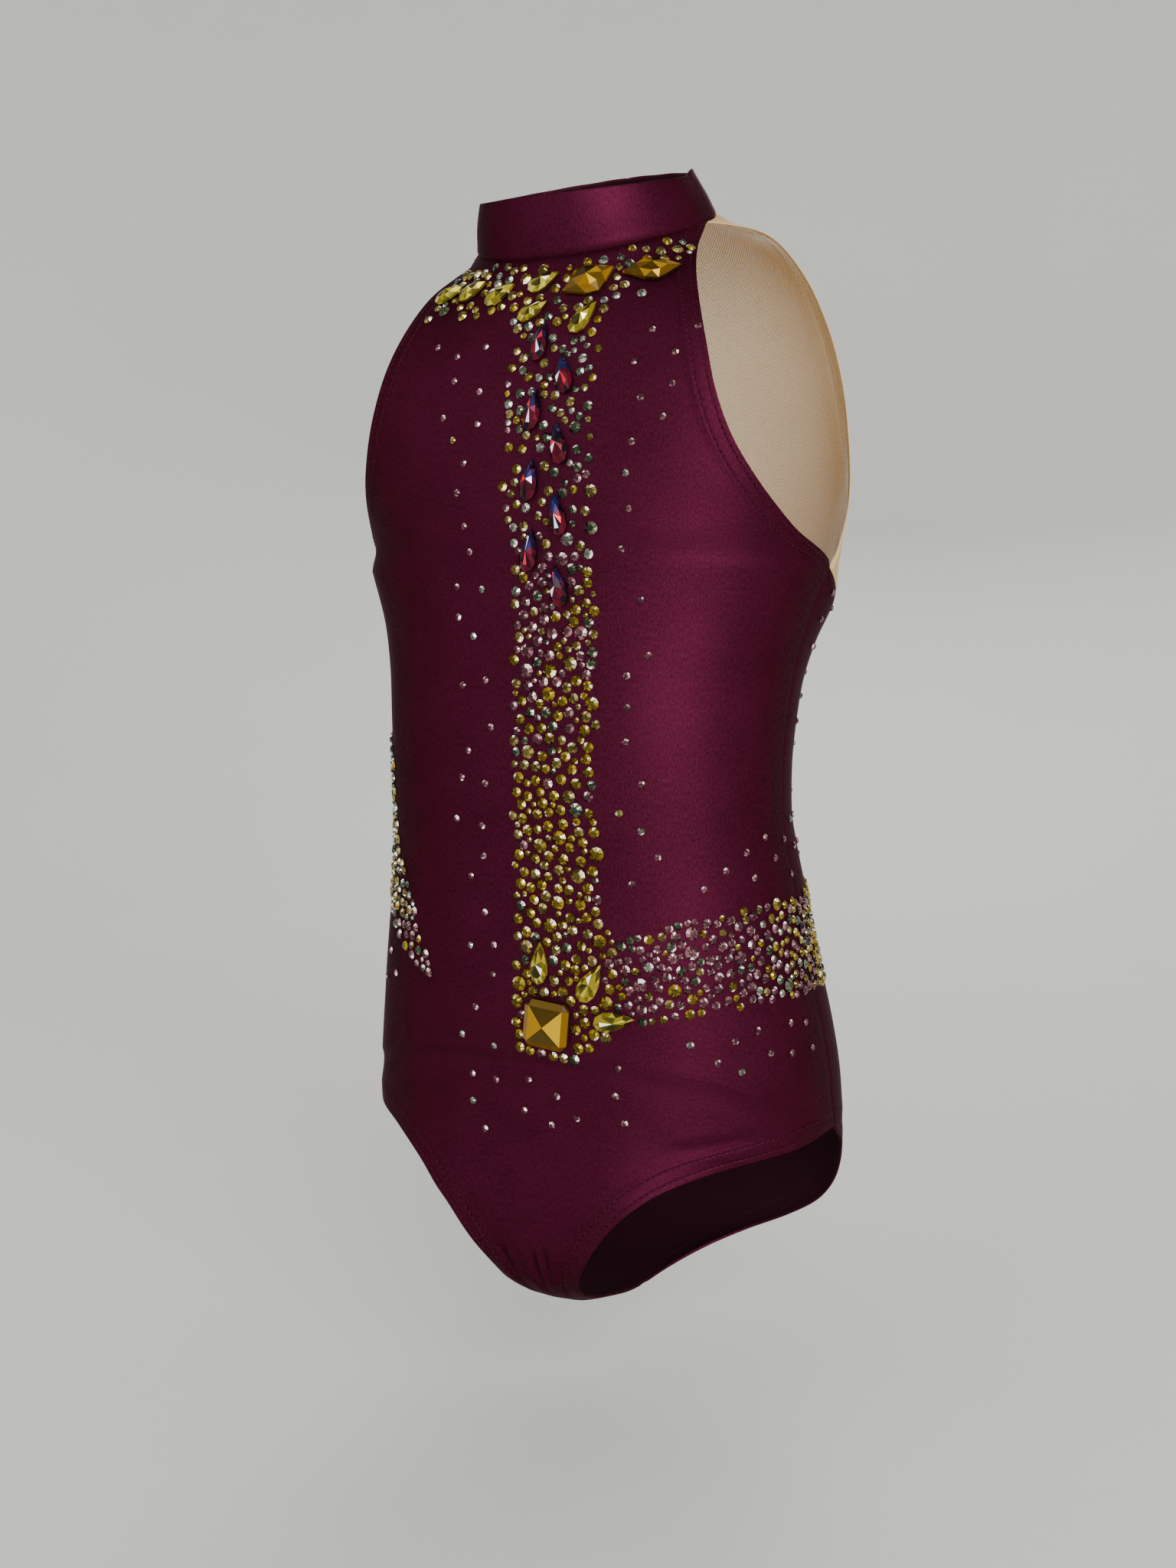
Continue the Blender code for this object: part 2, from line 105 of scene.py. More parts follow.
# The band's swell, the ridge of its fold, the puckers towards the hook and the tip that stands up beside it
COLLAR_SWELL = 0.9
COLLAR_FOLD_LINE = 0.25
COLLAR_FOLD_PLACE = 0.1
COLLAR_FOLD_WIDTH = 0.05
PUCKER_FROM = 1.25
PUCKER_DEPTH = 1.3
PUCKER_WAVES = 15.0
PUCKER_START = 0.6
PUCKER_LOW = 0.15
PUCKER_SPAN = 0.8
TIP_FROM = (1.55, 1.80)
TIP_TO = (1.98, 2.12)
TIP_RISE = 2.4
# The collar's lowest row is tucked this far down and in behind the body's edge
TUCK_DOWN = 1.0
TUCK_IN = 0.7

# One row for each section of a panel, in millimetres. mid is the section's point on the centre line, edge its
# point at the panel's left-hand side, turn the degrees of arc between them, square the arc's exponent
# (2 is an ellipse, more is squarer). The right-hand side is the mirror image.
Row = namedtuple("Row", "mid_y mid_z edge_x edge_y edge_z turn square")

ARMHOLE_ROWS = [
    # collar seam, then down the front armhole
    Row(-52.9, -22.5, 55.4, -3.7, -1.6, 86, 2.0),
    Row(-56.5, -31.0, 56.3, -14.0, -11.5, 82, 2.05),
    Row(-60.2, -41.0, 59.6, -26.5, -20.5, 77, 2.1),
    Row(-64.0, -52.0, 64.5, -40.0, -31.5, 70, 2.15),
    Row(-67.6, -64.0, 70.2, -51.0, -47.0, 62, 2.2),
    Row(-71.0, -78.0, 76.0, -58.6, -65.0, 55, 2.2),
    Row(-73.8, -94.0, 81.4, -62.0, -86.0, 51, 2.25),
    Row(-75.8, -110.0, 87.0, -59.0, -104.0, 52, 2.3),
    Row(-76.8, -126.0, 94.3, -49.0, -121.0, 58, 2.3),
    Row(-77.0, -141.0, 102.8, -29.0, -139.0, 69, 2.3),
]

FRONT_LEG_ROWS = [
    # leg edge, from below the side seam's foot to the crotch seam
    Row(-71.1, -366.5, 103.2, -19.0, -402.2, 71, 2.3),
    Row(-70.9, -375.0, 93.0, -36.0, -403.2, 57, 2.3),
    Row(-70.8, -386.5, 76.0, -50.5, -407.0, 45, 2.3),
    Row(-71.1, -402.5, 55.0, -65.0, -415.5, 38, 2.2),
    Row(-71.9, -420.5, 41.5, -70.5, -426.5, 40, 2.2),
    Row(-71.2, -436.0, 32.7, -70.2, -437.0, 40, 2.1),
    Row(-68.3, -449.0, 26.0, -67.3, -447.0, 40, 2.1),
    Row(-62.5, -460.0, 20.5, -62.0, -456.3, 40, 2.0),
    Row(-52.3, -469.5, 17.2, -55.0, -464.5, 40, 2.0),
    Row(-39.5, -476.5, 16.4, -41.0, -472.5, 40, 2.0),
    Row(-21.0, -483.0, 16.8, -22.5, -479.0, 40, 2.0),
    Row(-2.0, -486.8, 17.8, -4.5, -484.0, 40, 2.0),
    Row(12.0, -488.0, 18.5, 10.5, -486.6, 40, 2.0),
]

BACK_LEG_ROWS = [
    # leg edge round the seat to the crotch seam
    Row(96.4, -412.0, 107.8, 27.0, -411.0, 82, 2.3),
    Row(94.4, -425.0, 104.5, 39.5, -424.0, 75, 2.25),
    Row(91.0, -438.0, 98.0, 50.5, -439.5, 68, 2.2),
    Row(85.5, -452.0, 87.5, 58.5, -453.0, 62, 2.2),
    Row(77.5, -465.0, 72.0, 61.5, -463.5, 56, 2.1),
    Row(66.0, -476.5, 54.0, 57.5, -471.5, 50, 2.1),
    Row(50.0, -484.5, 37.5, 47.0, -478.5, 46, 2.0),
    Row(31.0, -488.0, 25.0, 30.0, -484.0, 44, 2.0),
    Row(12.0, -488.0, 18.5, 10.5, -486.6, 44, 2.0),
]

YOKE_ROWS = [
    # collar seam, over the shoulder blade, down to the back panel
    Row(52.9, 22.5, 55.4, -3.2, -1.5, 94, 2.0),
    Row(60.5, 10.0, 65.0, 11.0, -1.0, 88, 2.05),
    Row(68.5, -4.0, 76.0, 25.0, -4.0, 80, 2.1),
    Row(76.0, -21.0, 87.0, 39.0, -19.0, 72, 2.15),
    Row(82.0, -42.0, 95.5, 49.5, -42.0, 66, 2.2),
    Row(86.5, -67.0, 101.5, 53.0, -68.0, 64, 2.2),
    Row(88.5, -94.0, 105.3, 50.5, -96.0, 68, 2.3),
    Row(87.8, -122.0, 108.2, 41.0, -121.0, 74, 2.3),
    Row(83.8, -150.0, 109.4, 25.0, -139.5, 81, 2.3),
    Row(79.0, -172.0, 109.6, 13.5, -149.5, 86, 2.3),
]

# One level of the body between the underarm and the hip, in millimetres: half its width, how far back its
# side seam lies, and its centre front and centre back
Level = namedtuple("Level", "z half_width seam_y front_y back_y")

TORSO_LEVELS = [
    Level(-156.0, 109.6, 4.5, -76.8, 82.6),
    Level(-181.0, 100.6, 1.0, -76.0, 77.0),
    Level(-200.0, 96.3, -3.5, -76.3, 72.4),
    Level(-220.0, 94.0, -6.5, -77.0, 66.8),
    Level(-242.0, 92.4, -8.0, -77.3, 62.6),
    Level(-262.0, 92.0, -7.5, -76.3, 62.2),
    Level(-280.0, 93.6, -4.5, -74.5, 65.5),
    Level(-300.0, 96.4, -1.0, -73.5, 71.0),
    Level(-320.0, 99.2, 1.0, -73.3, 76.5),
    Level(-340.0, 102.4, 5.0, -72.6, 83.0),
    Level(-360.0, 105.2, 9.5, -71.4, 89.5),
    Level(-380.0, 107.4, 12.5, -70.8, 94.5),
    Level(-401.5, 108.6, 13.5, -71.1, 97.0),
]
UNDERARM = TORSO_LEVELS[0].z
SEAM_FOOT = TORSO_LEVELS[-1].z
TORSO_TURN = 90
TORSO_SQUARE = 2.3

# The back panel's top edge dips at the centre back, and its sections are level again at the hip. Below the
# hip the front panel's sections rise towards the centre front, so that they meet the leg edge at an angle.
BACK_SCOOP = 34.0
FRONT_LIFT = 41.5
LEVEL_AT = -300.0

# Sew-on stones, in millimetres. across and height place the centre on the front panel, lean turns the tip
# clockwise from straight up as the front is seen.
Stone = namedtuple("Stone", "name cut colour across height lean length width thick")

# The chest drops follow one rule: a zigzag down a strip beside the centre front
CHEST_DROPS = 8
CHEST_STRIP_ACROSS = 11.0
CHEST_ZIGZAG = 6.3
CHEST_TOP = -62.0
CHEST_PITCH = 14.7
CHEST_LEAN = 9.0
CHEST_DROP_SIZE = (18.0, 10.5, 4.0)

COLLAR_STONES = [
    Stone("gem_drop_collar_1", "drop", "citrine", -51.5, -33.5, 60, 15.0, 10.0, 4.0),
    Stone("gem_drop_collar_2", "drop", "citrine", -36.5, -34.0, 64, 15.0, 10.0, 4.0),
    Stone("gem_drop_collar_3", "drop", "citrine", -19.5, -38.0, 62, 16.0, 10.5, 4.2),
    Stone("gem_drop_collar_4", "drop", "citrine", 2.0, -34.5, 60, 15.5, 9.5, 4.2),
    Stone("gem_drop_collar_5", "drop", "citrine", -1.0, -47.5, 60, 15.0, 9.5, 4.0),
    Stone("gem_drop_collar_6", "drop", "citrine", 23.0, -52.5, 34, 17.0, 10.0, 4.2),
    Stone("gem_marquise_collar_1", "marquise", "amber", 22.0, -35.5, 56, 24.0, 16.0, 5.5),
    Stone("gem_marquise_collar_2", "marquise", "amber", 46.5, -31.5, 64, 25.0, 13.5, 5.0),
]

HIP_STONES = [
    Stone("gem_drop_hip_1", "drop", "citrine", 7.5, -322.0, 4, 18.0, 10.5, 4.2),
    Stone("gem_drop_hip_2", "drop", "citrine", 30.0, -328.5, 30, 18.0, 11.5, 4.2),
    Stone("gem_drop_hip_3", "drop", "citrine", 39.5, -344.0, 82, 17.5, 11.0, 4.2),
    Stone("gem_square_hip_1", "square", "amber", 10.5, -347.5, 6, 20.0, 20.0, 5.5),
]

# Shares of a stone's thickness and width, and the outlines in shares of half the length and width
GIRDLE_SHARE = 0.3
DROP_POINTS = 12
DROP_TAPER = 0.55
HALF_MARQUISE = [(0, 1), (0.62, 0.5), (1, 0.14), (0.8, -0.32)]
SQUARE_CORNER = 0.72
# The ring of corners between a stone's girdle and its peak, as shares of its outline and of its thickness
CROWNS = {"drop": (0.7, 0.72), "marquise": (0.7, 0.72), "square": (0.88, 0.62)}
SAME_CORNER = 0.02 * MM
FLAT_ENOUGH = math.radians(1.0)

# Rays that find the cloth start this far in front of the part, this far out at its side, or this far above
# a stone, in metres. The body's upright axis lies this far back, in millimetres.
RAY_START_Y = -1.0
SIDE_RAY_START = 0.5
AXIS_Y = 10.0
STONE_REACH = 5 * MM
SEAT_GAP = 0.3 * MM
FACET_SEED = 40

# Soft folds of the front, in millimetres: where each trough starts and ends as the front is seen,
# its depth and its half width
Crease = namedtuple("Crease", "start_x start_z end_x end_z depth width")
FRONT_CREASES = [
    Crease(-13.5, -446.0, -8.0, -464.0, 1.3, 2.0),
    Crease(1.5, -447.0, 3.0, -466.0, 1.5, 1.7),
    Crease(7.1, -443.0, 7.1, -465.0, 1.2, 1.5),
    Crease(13.0, -452.0, 11.0, -468.0, 0.8, 1.6),
    Crease(62.0, -397.0, 100.0, -392.5, 0.5, 2.4),
    Crease(-30.0, -425.0, -19.0, -445.0, 0.3, 4.0),
]
BACK_CREASES = [
    Crease(6.0, -448.0, 3.0, -472.0, 0.8, 2.6),
    Crease(-8.0, -446.0, -4.0, -470.0, 0.7, 2.4),
]

# A fold fades in and out along these shares of its length, between two low lips beside its trough
CREASE_FADE_IN = (-0.25, 0.3)
CREASE_FADE_OUT = (0.7, 1.25)
CREASE_LIP = 0.45
CREASE_LIP_PLACE = 2.0

# Small flat-back stones: shares of the radius, and how they are laid, in millimetres
FLAT_BACK_SIDES = 10
FLAT_BACK_GIRDLE = 0.2
FLAT_BACK_TABLE = 0.5
FLAT_BACK_HEIGHT = 0.6
BEAD_LIFT = 0.05
BEAD_GAP = 0.16
# How far stones stray over the edge of their region, in millimetres
STRAY_LOOSE = 3.5
STRAY_CLOSE = 0.8
# Painted glints: the brightest facets glow as if they sent the window straight back, from this place of a
# palette to its end
GLOWING_GLINTS = [(0.0, (0.0, 0.0, 0.0)), (0.90, (0.0, 0.0, 0.0)), (0.98, (1.0, 0.94, 0.82))]
GLINT_GLOW_STRENGTH = 0.9
# Painted highlight: most small stones are painted brighter on their upper right side, as if they caught the
# window there
PAINTED_GLINT_SIDE = 50.0
PAINTED_GLINT_SPREAD = 60.0
PAINTED_GLINT_GAIN = 1.5
PAINTED_GLINT_POWER = 3
# Painted reflections and shade: how bright each kind of facet of a small stone is painted, as places of the
# stone's palette
TABLE_LIFT = 0.98
GIRDLE_LIFT = 0.3
TABLE_DARK = 0.05
TABLE_STAR = 0.30
GIRDLE_DARK = 0.05
CROWN_PLACES = (0.1, 0.25, 0.5, 0.65)
FACET_SHIFT = 0.1
# Gaps between stones and how many there may be
CRYSTAL_CLEAR = 0.15
SCATTER_GAP = 8.2
MOST_BEADS = 3000
BEAD_SEED = 11

# A size of stone, and how often it is thrown at a region
Size = namedtuple("Size", "across throws")
TOP_SIZES = [Size(5.4, 20), Size(4.4, 220), Size(3.8, 420), Size(3.0, 300)]
UPPER_SIZES = [Size(5.4, 10), Size(4.3, 130), Size(3.7, 300), Size(2.9, 240)]
LOWER_SIZES = [Size(6.0, 60), Size(4.6, 1500), Size(4.1, 7000), Size(3.2, 3500), Size(2.6, 3500)]
HIP_SIZES = [Size(5.8, 40), Size(4.2, 500), Size(3.5, 6000), Size(2.9, 5000), Size(2.5, 4000)]
WING_SIZES = [Size(5.4, 20), Size(4.2, 900), Size(3.6, 5000), Size(2.9, 4000), Size(2.5, 3000)]
SCATTER_SIZES = [Size(3.1, 420)]

# Regions of small stones. On the front a point is (across, height) in millimetres, as the front is seen.
TOP_BAR = [(-61, -45), (-56, -27), (-48, -17), (-36, -21), (-20, -25.5), (0, -27), (20, -25.5),
           (36, -21), (50, -13), (57, -18), (57, -32), (46, -40), (34, -44), (28, -56), (-9, -56),
           (-12, -47), (-30, -46)]
FRONT_BAND_TOP = [(-9, -56), (28, -56), (30, -100), (32, -150), (-2.4, -150), (-6, -100)]
FRONT_BAND_LOW = [(-2.4, -150), (32, -150), (32, -240), (33, -300), (38, -313), (41, -348),
                  (20, -362), (-5, -362), (-3, -320), (-2.4, -240)]
# At the sides it is (angle from the centre front in degrees, height).
HIP_BAND = [(23, -314), (44, -303), (64, -299), (85, -300), (100, -297), (122, -296), (148, -300),
            (122, -328), (100, -341), (85, -339), (64, -338), (44, -341), (23, -349)]
FLANK_WING = [(-32, -336), (-38.6, -311), (-46, -292), (-50, -279), (-52, -241), (-62, -231),
              (-78, -224), (-96, -221), (-88, -250), (-72, -284), (-56, -311), (-44, -327)]
FRONT_SCATTER = [
    [(-60, -56), (-14, -58), (-10, -145), (-9, -362), (-34, -362), (-32, -240), (-33, -120), (-45, -80)],
    [(34, -58), (74, -52), (72, -75), (56, -110), (52, -160), (60, -285), (36, -292)],
    [(-30, -366), (50, -358), (48, -392), (-32, -398)],
]
SIDE_SCATTER = [
    [(45, -294), (88, -290), (88, -262), (64, -272)],
    [(40, -350), (84, -348), (84, -364), (48, -368)],
    [(93, -165), (106, -165), (106, -285), (93, -285)],
    [(-54, -318), (-60, -345), (-45, -345)],
]

# Shares of each colour, from the top down to a height or from the front round to an angle
SORTS = ("rose", "topaz", "citrine", "smoke", "clear")
Mix = namedtuple("Mix", "axis until rose topaz citrine smoke clear rest")
FRONT_MIX = [
    Mix("down", -60, 0.00, 0.34, 0.34, 0.22, 0.10, "topaz"),
    Mix("down", -150, 0.08, 0.30, 0.14, 0.32, 0.16, "smoke"),
    Mix("down", -178, 0.36, 0.26, 0.20, 0.12, 0.06, "rose"),
    Mix("down", -205, 0.42, 0.16, 0.28, 0.10, 0.04, "rose"),
    Mix("down", -232, 0.16, 0.24, 0.48, 0.12, 0.00, "citrine"),
    Mix("down", -400, 0.02, 0.18, 0.74, 0.06, 0.00, "citrine"),
]
HIP_MIX = [
    Mix("round", 31, 0.34, 0.10, 0.38, 0.18, 0.00, "citrine"),
    Mix("round", 64, 0.60, 0.14, 0.16, 0.08, 0.02, "rose"),
    Mix("round", 90, 0.38, 0.12, 0.28, 0.20, 0.02, "rose"),
    Mix("round", 180, 0.06, 0.24, 0.64, 0.06, 0.00, "citrine"),
]
WING_MIX = [
    Mix("down", -270, 0.04, 0.24, 0.20, 0.52, 0.00, "smoke"),
    Mix("down", -312, 0.08, 0.24, 0.24, 0.44, 0.00, "smoke"),
    Mix("down", -400, 0.40, 0.12, 0.26, 0.22, 0.00, "rose"),
]
SCATTER_MIX = [Mix("down", -600, 0.84, 0.07, 0.00, 0.04, 0.05, "rose")]

# Colours, all linear
CLOTH_COLOUR = (0.062, 0.0066, 0.0218)
CLOTH_INSIDE = (0.030, 0.004, 0.012)
CLOTH_EDGE_TINT = (0.25, 0.02, 0.08)
CLOTH_METALLIC = 0.8
CLOTH_ROUGHNESS = 0.43
KNIT_PITCH = 0.8
# How much of the knit's shade comes from its grain, its loops and slow patches
KNIT_GRAIN = 1.3
KNIT_LOOPS = 0.25
KNIT_PATCHES = 0.35
NET_COLOUR = (0.76, 0.50, 0.24)
NET_PITCH = 1.3
NET_HOLE = 0.36
THREAD_COLOUR = (0.075, 0.008, 0.018)
NET_THREAD_COLOUR = (0.80, 0.56, 0.28)
# Each palette runs from a stone's dark facets to its bright ones: its colour at every brightness of painted
# reflection, up to pale painted glints at its end
CRYSTAL_PALETTES = {
    "citrine": [(0.0, (0.016, 0.014, 0.001)), (0.3, (0.10, 0.080, 0.004)), (0.6, (0.42, 0.33, 0.012)),
                (0.85, (0.75, 0.64, 0.08)), (1.0, (1.0, 0.98, 0.80))],
    "amber": [(0.0, (0.030, 0.017, 0.0)), (0.3, (0.12, 0.062, 0.0)), (0.6, (0.40, 0.185, 0.0)),
              (0.9, (0.85, 0.52, 0.0)), (1.0, (1.0, 0.78, 0.05))],
    "garnet": [(0.0, (0.003, 0.001, 0.005)), (0.18, (0.13, 0.0, 0.014)), (0.36, (0.016, 0.004, 0.060)),
               (0.55, (0.006, 0.020, 0.120)), (0.72, (0.95, 0.02, 0.04)), (0.86, (0.08, 0.36, 1.0)),
               (1.0, (0.62, 0.50, 1.0))],
}
# How bright each facet is painted, as places in its palette (painted reflections): round the peak on its
# upper and its lower half, on the slopes above and below them, and the painted glints that every stone has
# one each of. The square stone has its own.
FacetPlaces = namedtuple("FacetPlaces", "peak_top peak_foot slope_top slope_foot glints")
FACET_CHOICES = {
    "citrine": FacetPlaces((0.0, 0.1, 0.5), (0.05, 0.3, 0.55), (0.25, 0.5, 0.7), (0.4, 0.6, 0.85),
                           (1.0, 0.8)),
    "amber": FacetPlaces((0.0, 0.15, 0.35), (0.15, 0.35, 0.6), (0.1, 0.35, 0.6), (0.2, 0.45, 0.65),
                         (0.88, 0.7)),
    "garnet": FacetPlaces((0.0, 0.36, 0.40, 0.55), (0.0, 0.1, 0.18), (0.0, 0.36, 0.55), (0.0, 0.1, 0.18),
                          (0.98, 0.72)),
    "square": FacetPlaces((0.0, 0.15, 0.3), (0.1, 0.2, 0.4), (0.05, 0.25, 0.45), (0.1, 0.3, 0.5),
                          (0.86, 0.65)),
}
BEAD_PALETTES = {
    "rose": [(0.0, (0.018, 0.004, 0.009)), (0.4, (0.12, 0.036, 0.052)), (0.75, (0.50, 0.24, 0.26)),
             (1.0, (1.0, 0.90, 0.86))],
    "topaz": [(0.0, (0.024, 0.017, 0.003)), (0.4, (0.15, 0.105, 0.018)), (0.75, (0.55, 0.43, 0.12)),
              (1.0, (1.0, 0.96, 0.70))],
    "citrine": [(0.0, (0.022, 0.014, 0.0)), (0.4, (0.16, 0.100, 0.002)), (0.75, (0.55, 0.38, 0.012)),
                (1.0, (1.0, 0.90, 0.36))],
    "smoke": [(0.0, (0.007, 0.009, 0.006)), (0.4, (0.035, 0.043, 0.025)), (0.75, (0.22, 0.24, 0.14)),
              (1.0, (1.0, 1.0, 0.85))],
    "clear": [(0.0, (0.035, 0.035, 0.030)), (0.4, (0.16, 0.16, 0.13)), (0.75, (0.55, 0.55, 0.46)),
              (1.0, (1.0, 1.0, 1.0))],
}

# Stage, in metres
FLOOR_Z = -0.54
STAGE_RADIUS = 2.6
STAGE_BEND = 1.2
STAGE_BEND_STEPS = 16
STAGE_HEIGHT = 3.0
STAGE_SIDES = 96
STAGE_COLOUR = (0.82, 0.82, 0.795)

# Lights: metres and watts
LIGHT_TARGET = (0.0, 0.0, -0.25)
WINDOW_PLACE = (1.45, -1.6, 0.4)
WINDOW_SIZE = (1.6, 1.6)
WINDOW_POWER = 48.0
ROOM_PLACE = (-0.9, -1.5, 0.9)
ROOM_SIZE = (1.2, 1.2)
ROOM_POWER = 4.0
BACK_PLACE = (-0.35, 1.8, 0.9)
BACK_POWER = 13.0
ROOM_COLOUR = (1.0, 1.0, 1.0)
ROOM_STRENGTH = 0.54

# The camera at the photograph's place, in metres and degrees
CAMERA_LENS = 35.16
CAMERA_SHIFT = (-0.0029, -0.1011)
CAMERA_PLACE = (0.2975, -0.6430, -0.1813)
CAMERA_TURN = 25.0


def signed_power(value, exponent):
    return np.sign(value) * np.abs(value) ** exponent


def smooth_through(stations, values, wanted):
    """A smooth curve through the rows of a table, which stays between two rows' values."""
    slopes = np.gradient(values, stations, axis=0)
    steps = np.diff(values, axis=0) / np.diff(stations)[:, None]
    limit = STEEPEST * np.minimum(np.abs(steps[:-1]), np.abs(steps[1:]))
    turns_back = steps[:-1] * steps[1:] <= 0
    slopes[1:-1] = np.where(turns_back, 0.0, np.clip(slopes[1:-1], -limit, limit))
    place = np.clip(np.searchsorted(stations, wanted, side="right") - 1, 0, len(stations) - 2)
    width = stations[place + 1] - stations[place]
    t = ((wanted - stations[place]) / width)[:, None]
    width = width[:, None]
    start, end = values[place], values[place + 1]
    leave, arrive = slopes[place] * width, slopes[place + 1] * width
    return ((2 * t**3 - 3 * t**2 + 1) * start + (t**3 - 2 * t**2 + t) * leave
            + (-2 * t**3 + 3 * t**2) * end + (t**3 - t**2) * arrive)


def torso_line(z):
    """Half width, seam place, centre front and centre back of the body at height z."""
    levels = np.array(TORSO_LEVELS)
    return smooth_through(-levels[:, 0], levels[:, 1:], np.array([-z]))[0]


def level_row(level, mid_y, mid_z):
    return Row(mid_y, mid_z, level.half_width, level.seam_y, level.z, TORSO_TURN, TORSO_SQUARE)


def front_rows():
    torso = []
    for level in TORSO_LEVELS:
        below = max(0.0, (LEVEL_AT - level.z) / (LEVEL_AT - SEAM_FOOT))
        middle = level.z + FRONT_LIFT * below**2
        torso.append(level_row(level, torso_line(middle)[2], middle))
    return ARMHOLE_ROWS + torso + FRONT_LEG_ROWS


def back_rows():
    torso = []
    for level in TORSO_LEVELS:
        above = max(0.0, (level.z - LEVEL_AT) / (UNDERARM - LEVEL_AT))
        middle = level.z - BACK_SCOOP * above**2
        torso.append(level_row(level, torso_line(middle)[3], middle))
    return YOKE_ROWS + torso + BACK_LEG_ROWS


def rows_between(table, count):
    """Sections at even distances down a panel, read from a smooth curve through the table.

    A section falls on each end of the side seam, and all sections between them end on that seam.
    """
    values = np.array(table, dtype=float)
    middle_steps = np.linalg.norm(np.diff(values[:, 0:2], axis=0), axis=1)
    edge_steps = np.linalg.norm(np.diff(values[:, 2:5], axis=0), axis=1)
    stations = np.concatenate([[0.0], np.cumsum((middle_steps + edge_steps) / 2)])
    wanted = np.linspace(0.0, stations[-1], count)
    for row, station in zip(table, stations):
        if row.turn == TORSO_TURN and row.edge_z in (UNDERARM, SEAM_FOOT):
            wanted[np.abs(wanted - station).argmin()] = station
    rows = [Row(*values_here) for values_here in smooth_through(stations, values, wanted)]
    return [seam_row(row) if on_side_seam(row) else row for row in rows]


def on_side_seam(row):
    return SEAM_FOOT <= row.edge_z <= UNDERARM


def seam_row(row):
    half_width, seam_y, _, _ = torso_line(row.edge_z)
    return row._replace(edge_x=half_width, edge_y=seam_y, turn=TORSO_TURN)


def section(row, start):
    """One section's points, from start (-1 is the right side, 0 the centre line) to the left side."""
    power = 2.0 / row.square
    turn = math.radians(row.turn)
    angles = np.linspace(start * turn, turn, FINE_STEPS)
    across = signed_power(np.sin(angles), power) / signed_power(np.sin(turn), power)
    fall = (1 - signed_power(np.cos(angles), power)) / (1 - signed_power(np.cos(turn), power))
    points = np.stack([row.edge_x * across,
                       row.mid_y + (row.edge_y - row.mid_y) * fall,
                       row.mid_z + (row.edge_z - row.mid_z) * fall], axis=1) * MM
    lengths = np.linalg.norm(np.diff(points, axis=0), axis=1)
    travelled = np.concatenate([[0.0], np.cumsum(lengths)])
    whole = travelled[-1]
    hem = np.array(HEM_COLUMNS) * MM
    hem = hem * min(1.0, whole * HEM_MOST / hem[-1])
    between = np.linspace(hem[-1], whole - hem[-1], MIDDLE_FACES[start] + 1)[1:-1]
    wanted = np.concatenate([hem, between, (whole - hem)[::-1]])
    return np.stack([np.interp(wanted, travelled, points[:, axis]) for axis in range(3)], axis=1)


def panel_grid(rows, start):
    """A panel's points: fine columns in both hems, even ones between them. start is as in section."""
    return np.stack([section(row, start) for row in rows])


def collar_ring(angle, height):
    """A point of the collar: angle from the centre front, height from 0 at the seam to 1 at the top."""
    ring_tilt = math.radians(COLLAR_RING_TILT)
    top_tilt = math.radians(COLLAR_TOP_TILT)
    low = Vector((COLLAR_RING_X * math.sin(angle),
                  -COLLAR_RING_Y * math.cos(angle) * math.cos(ring_tilt),
                  -COLLAR_RING_Y * math.cos(angle) * math.sin(ring_tilt)))
    behind = ((1 - math.cos(angle)) / 2) ** 2
    top = Vector((COLLAR_TOP_RADIUS * math.sin(angle),
                  -COLLAR_TOP_FORWARD - COLLAR_TOP_RADIUS * math.cos(angle) * math.cos(top_tilt),
                  COLLAR_TOP_RISE - COLLAR_TOP_RADIUS * math.cos(angle) * math.sin(top_tilt)
                  + COLLAR_BACK_RISE * behind))
    return low.lerp(top, height) * MM


def collar_grid():
    """The folded band: it swells a little, its fold is tight at the top, and it puckers towards the hook."""
    angles = np.linspace(-math.pi, math.pi, COLLAR_FACES[0] + 1)
    heights = np.linspace(1.0, 0.0, COLLAR_FACES[1] + 1)
    grid = np.array([[collar_ring(angle, height) for angle in angles] for height in heights])
    outwards = grid_normals(grid)
    behind = np.clip((np.abs(angles) - PUCKER_FROM) / (math.pi - PUCKER_FROM), 0.0, 1.0)
    pucker = PUCKER_DEPTH * behind * np.sin(np.abs(angles) * PUCKER_WAVES + PUCKER_START)
    fold = groove(heights, COLLAR_FOLD_PLACE, COLLAR_FOLD_WIDTH)
    swell = COLLAR_SWELL * np.sin(np.pi * heights) + COLLAR_FOLD_LINE * fold
    push = swell[:, None] + pucker[None, :] * np.sin(np.pi * (PUCKER_LOW + PUCKER_SPAN * heights))[:, None]
    grid = grid + outwards * push[..., None] * MM
    tip = smooth_step(angles, *TIP_FROM) - smooth_step(angles, *TIP_TO)
    grid[..., 2] += (TIP_RISE * MM) * tip[None, :] * heights[:, None] ** 3
    grid[-1] += np.array((0.0, 0.0, -TUCK_DOWN * MM)) - outwards[-1] * TUCK_IN * MM
    grid[:, 0] = pull_in(grid[:, 0], grid[:, 1], SEAM_HALF_GAP)
    grid[:, -1] = pull_in(grid[:, -1], grid[:, -2], SEAM_HALF_GAP)
    return grid


def pull_in(line, neighbour, amount):
    """Move a line of seam points towards the next line by amount."""
    step = neighbour - line
    return line + step / np.linalg.norm(step, axis=-1, keepdims=True) * amount


def lap_seams(grid, top, foot):
    """Run a panel a little past its side seams, from row top to row foot, and past its crotch seam."""
    seam = slice(top, foot + 1)
    for side, beside in ((0, 1), (-1, -2)):
        grid[seam, side] = pull_in(grid[seam, side], grid[seam, beside], -SEAM_LAP)
    grid[-1] = pull_in(grid[-1], grid[-2], -SEAM_LAP)


def grid_normals(grid):
    """The direction straight out of a grid whose lines run down and whose points run to the left side."""
    down = np.gradient(grid, axis=0)
    across = np.gradient(grid, axis=1)
    normals = np.cross(down, across)
    return normals / np.maximum(np.linalg.norm(normals, axis=-1, keepdims=True), 1e-12)


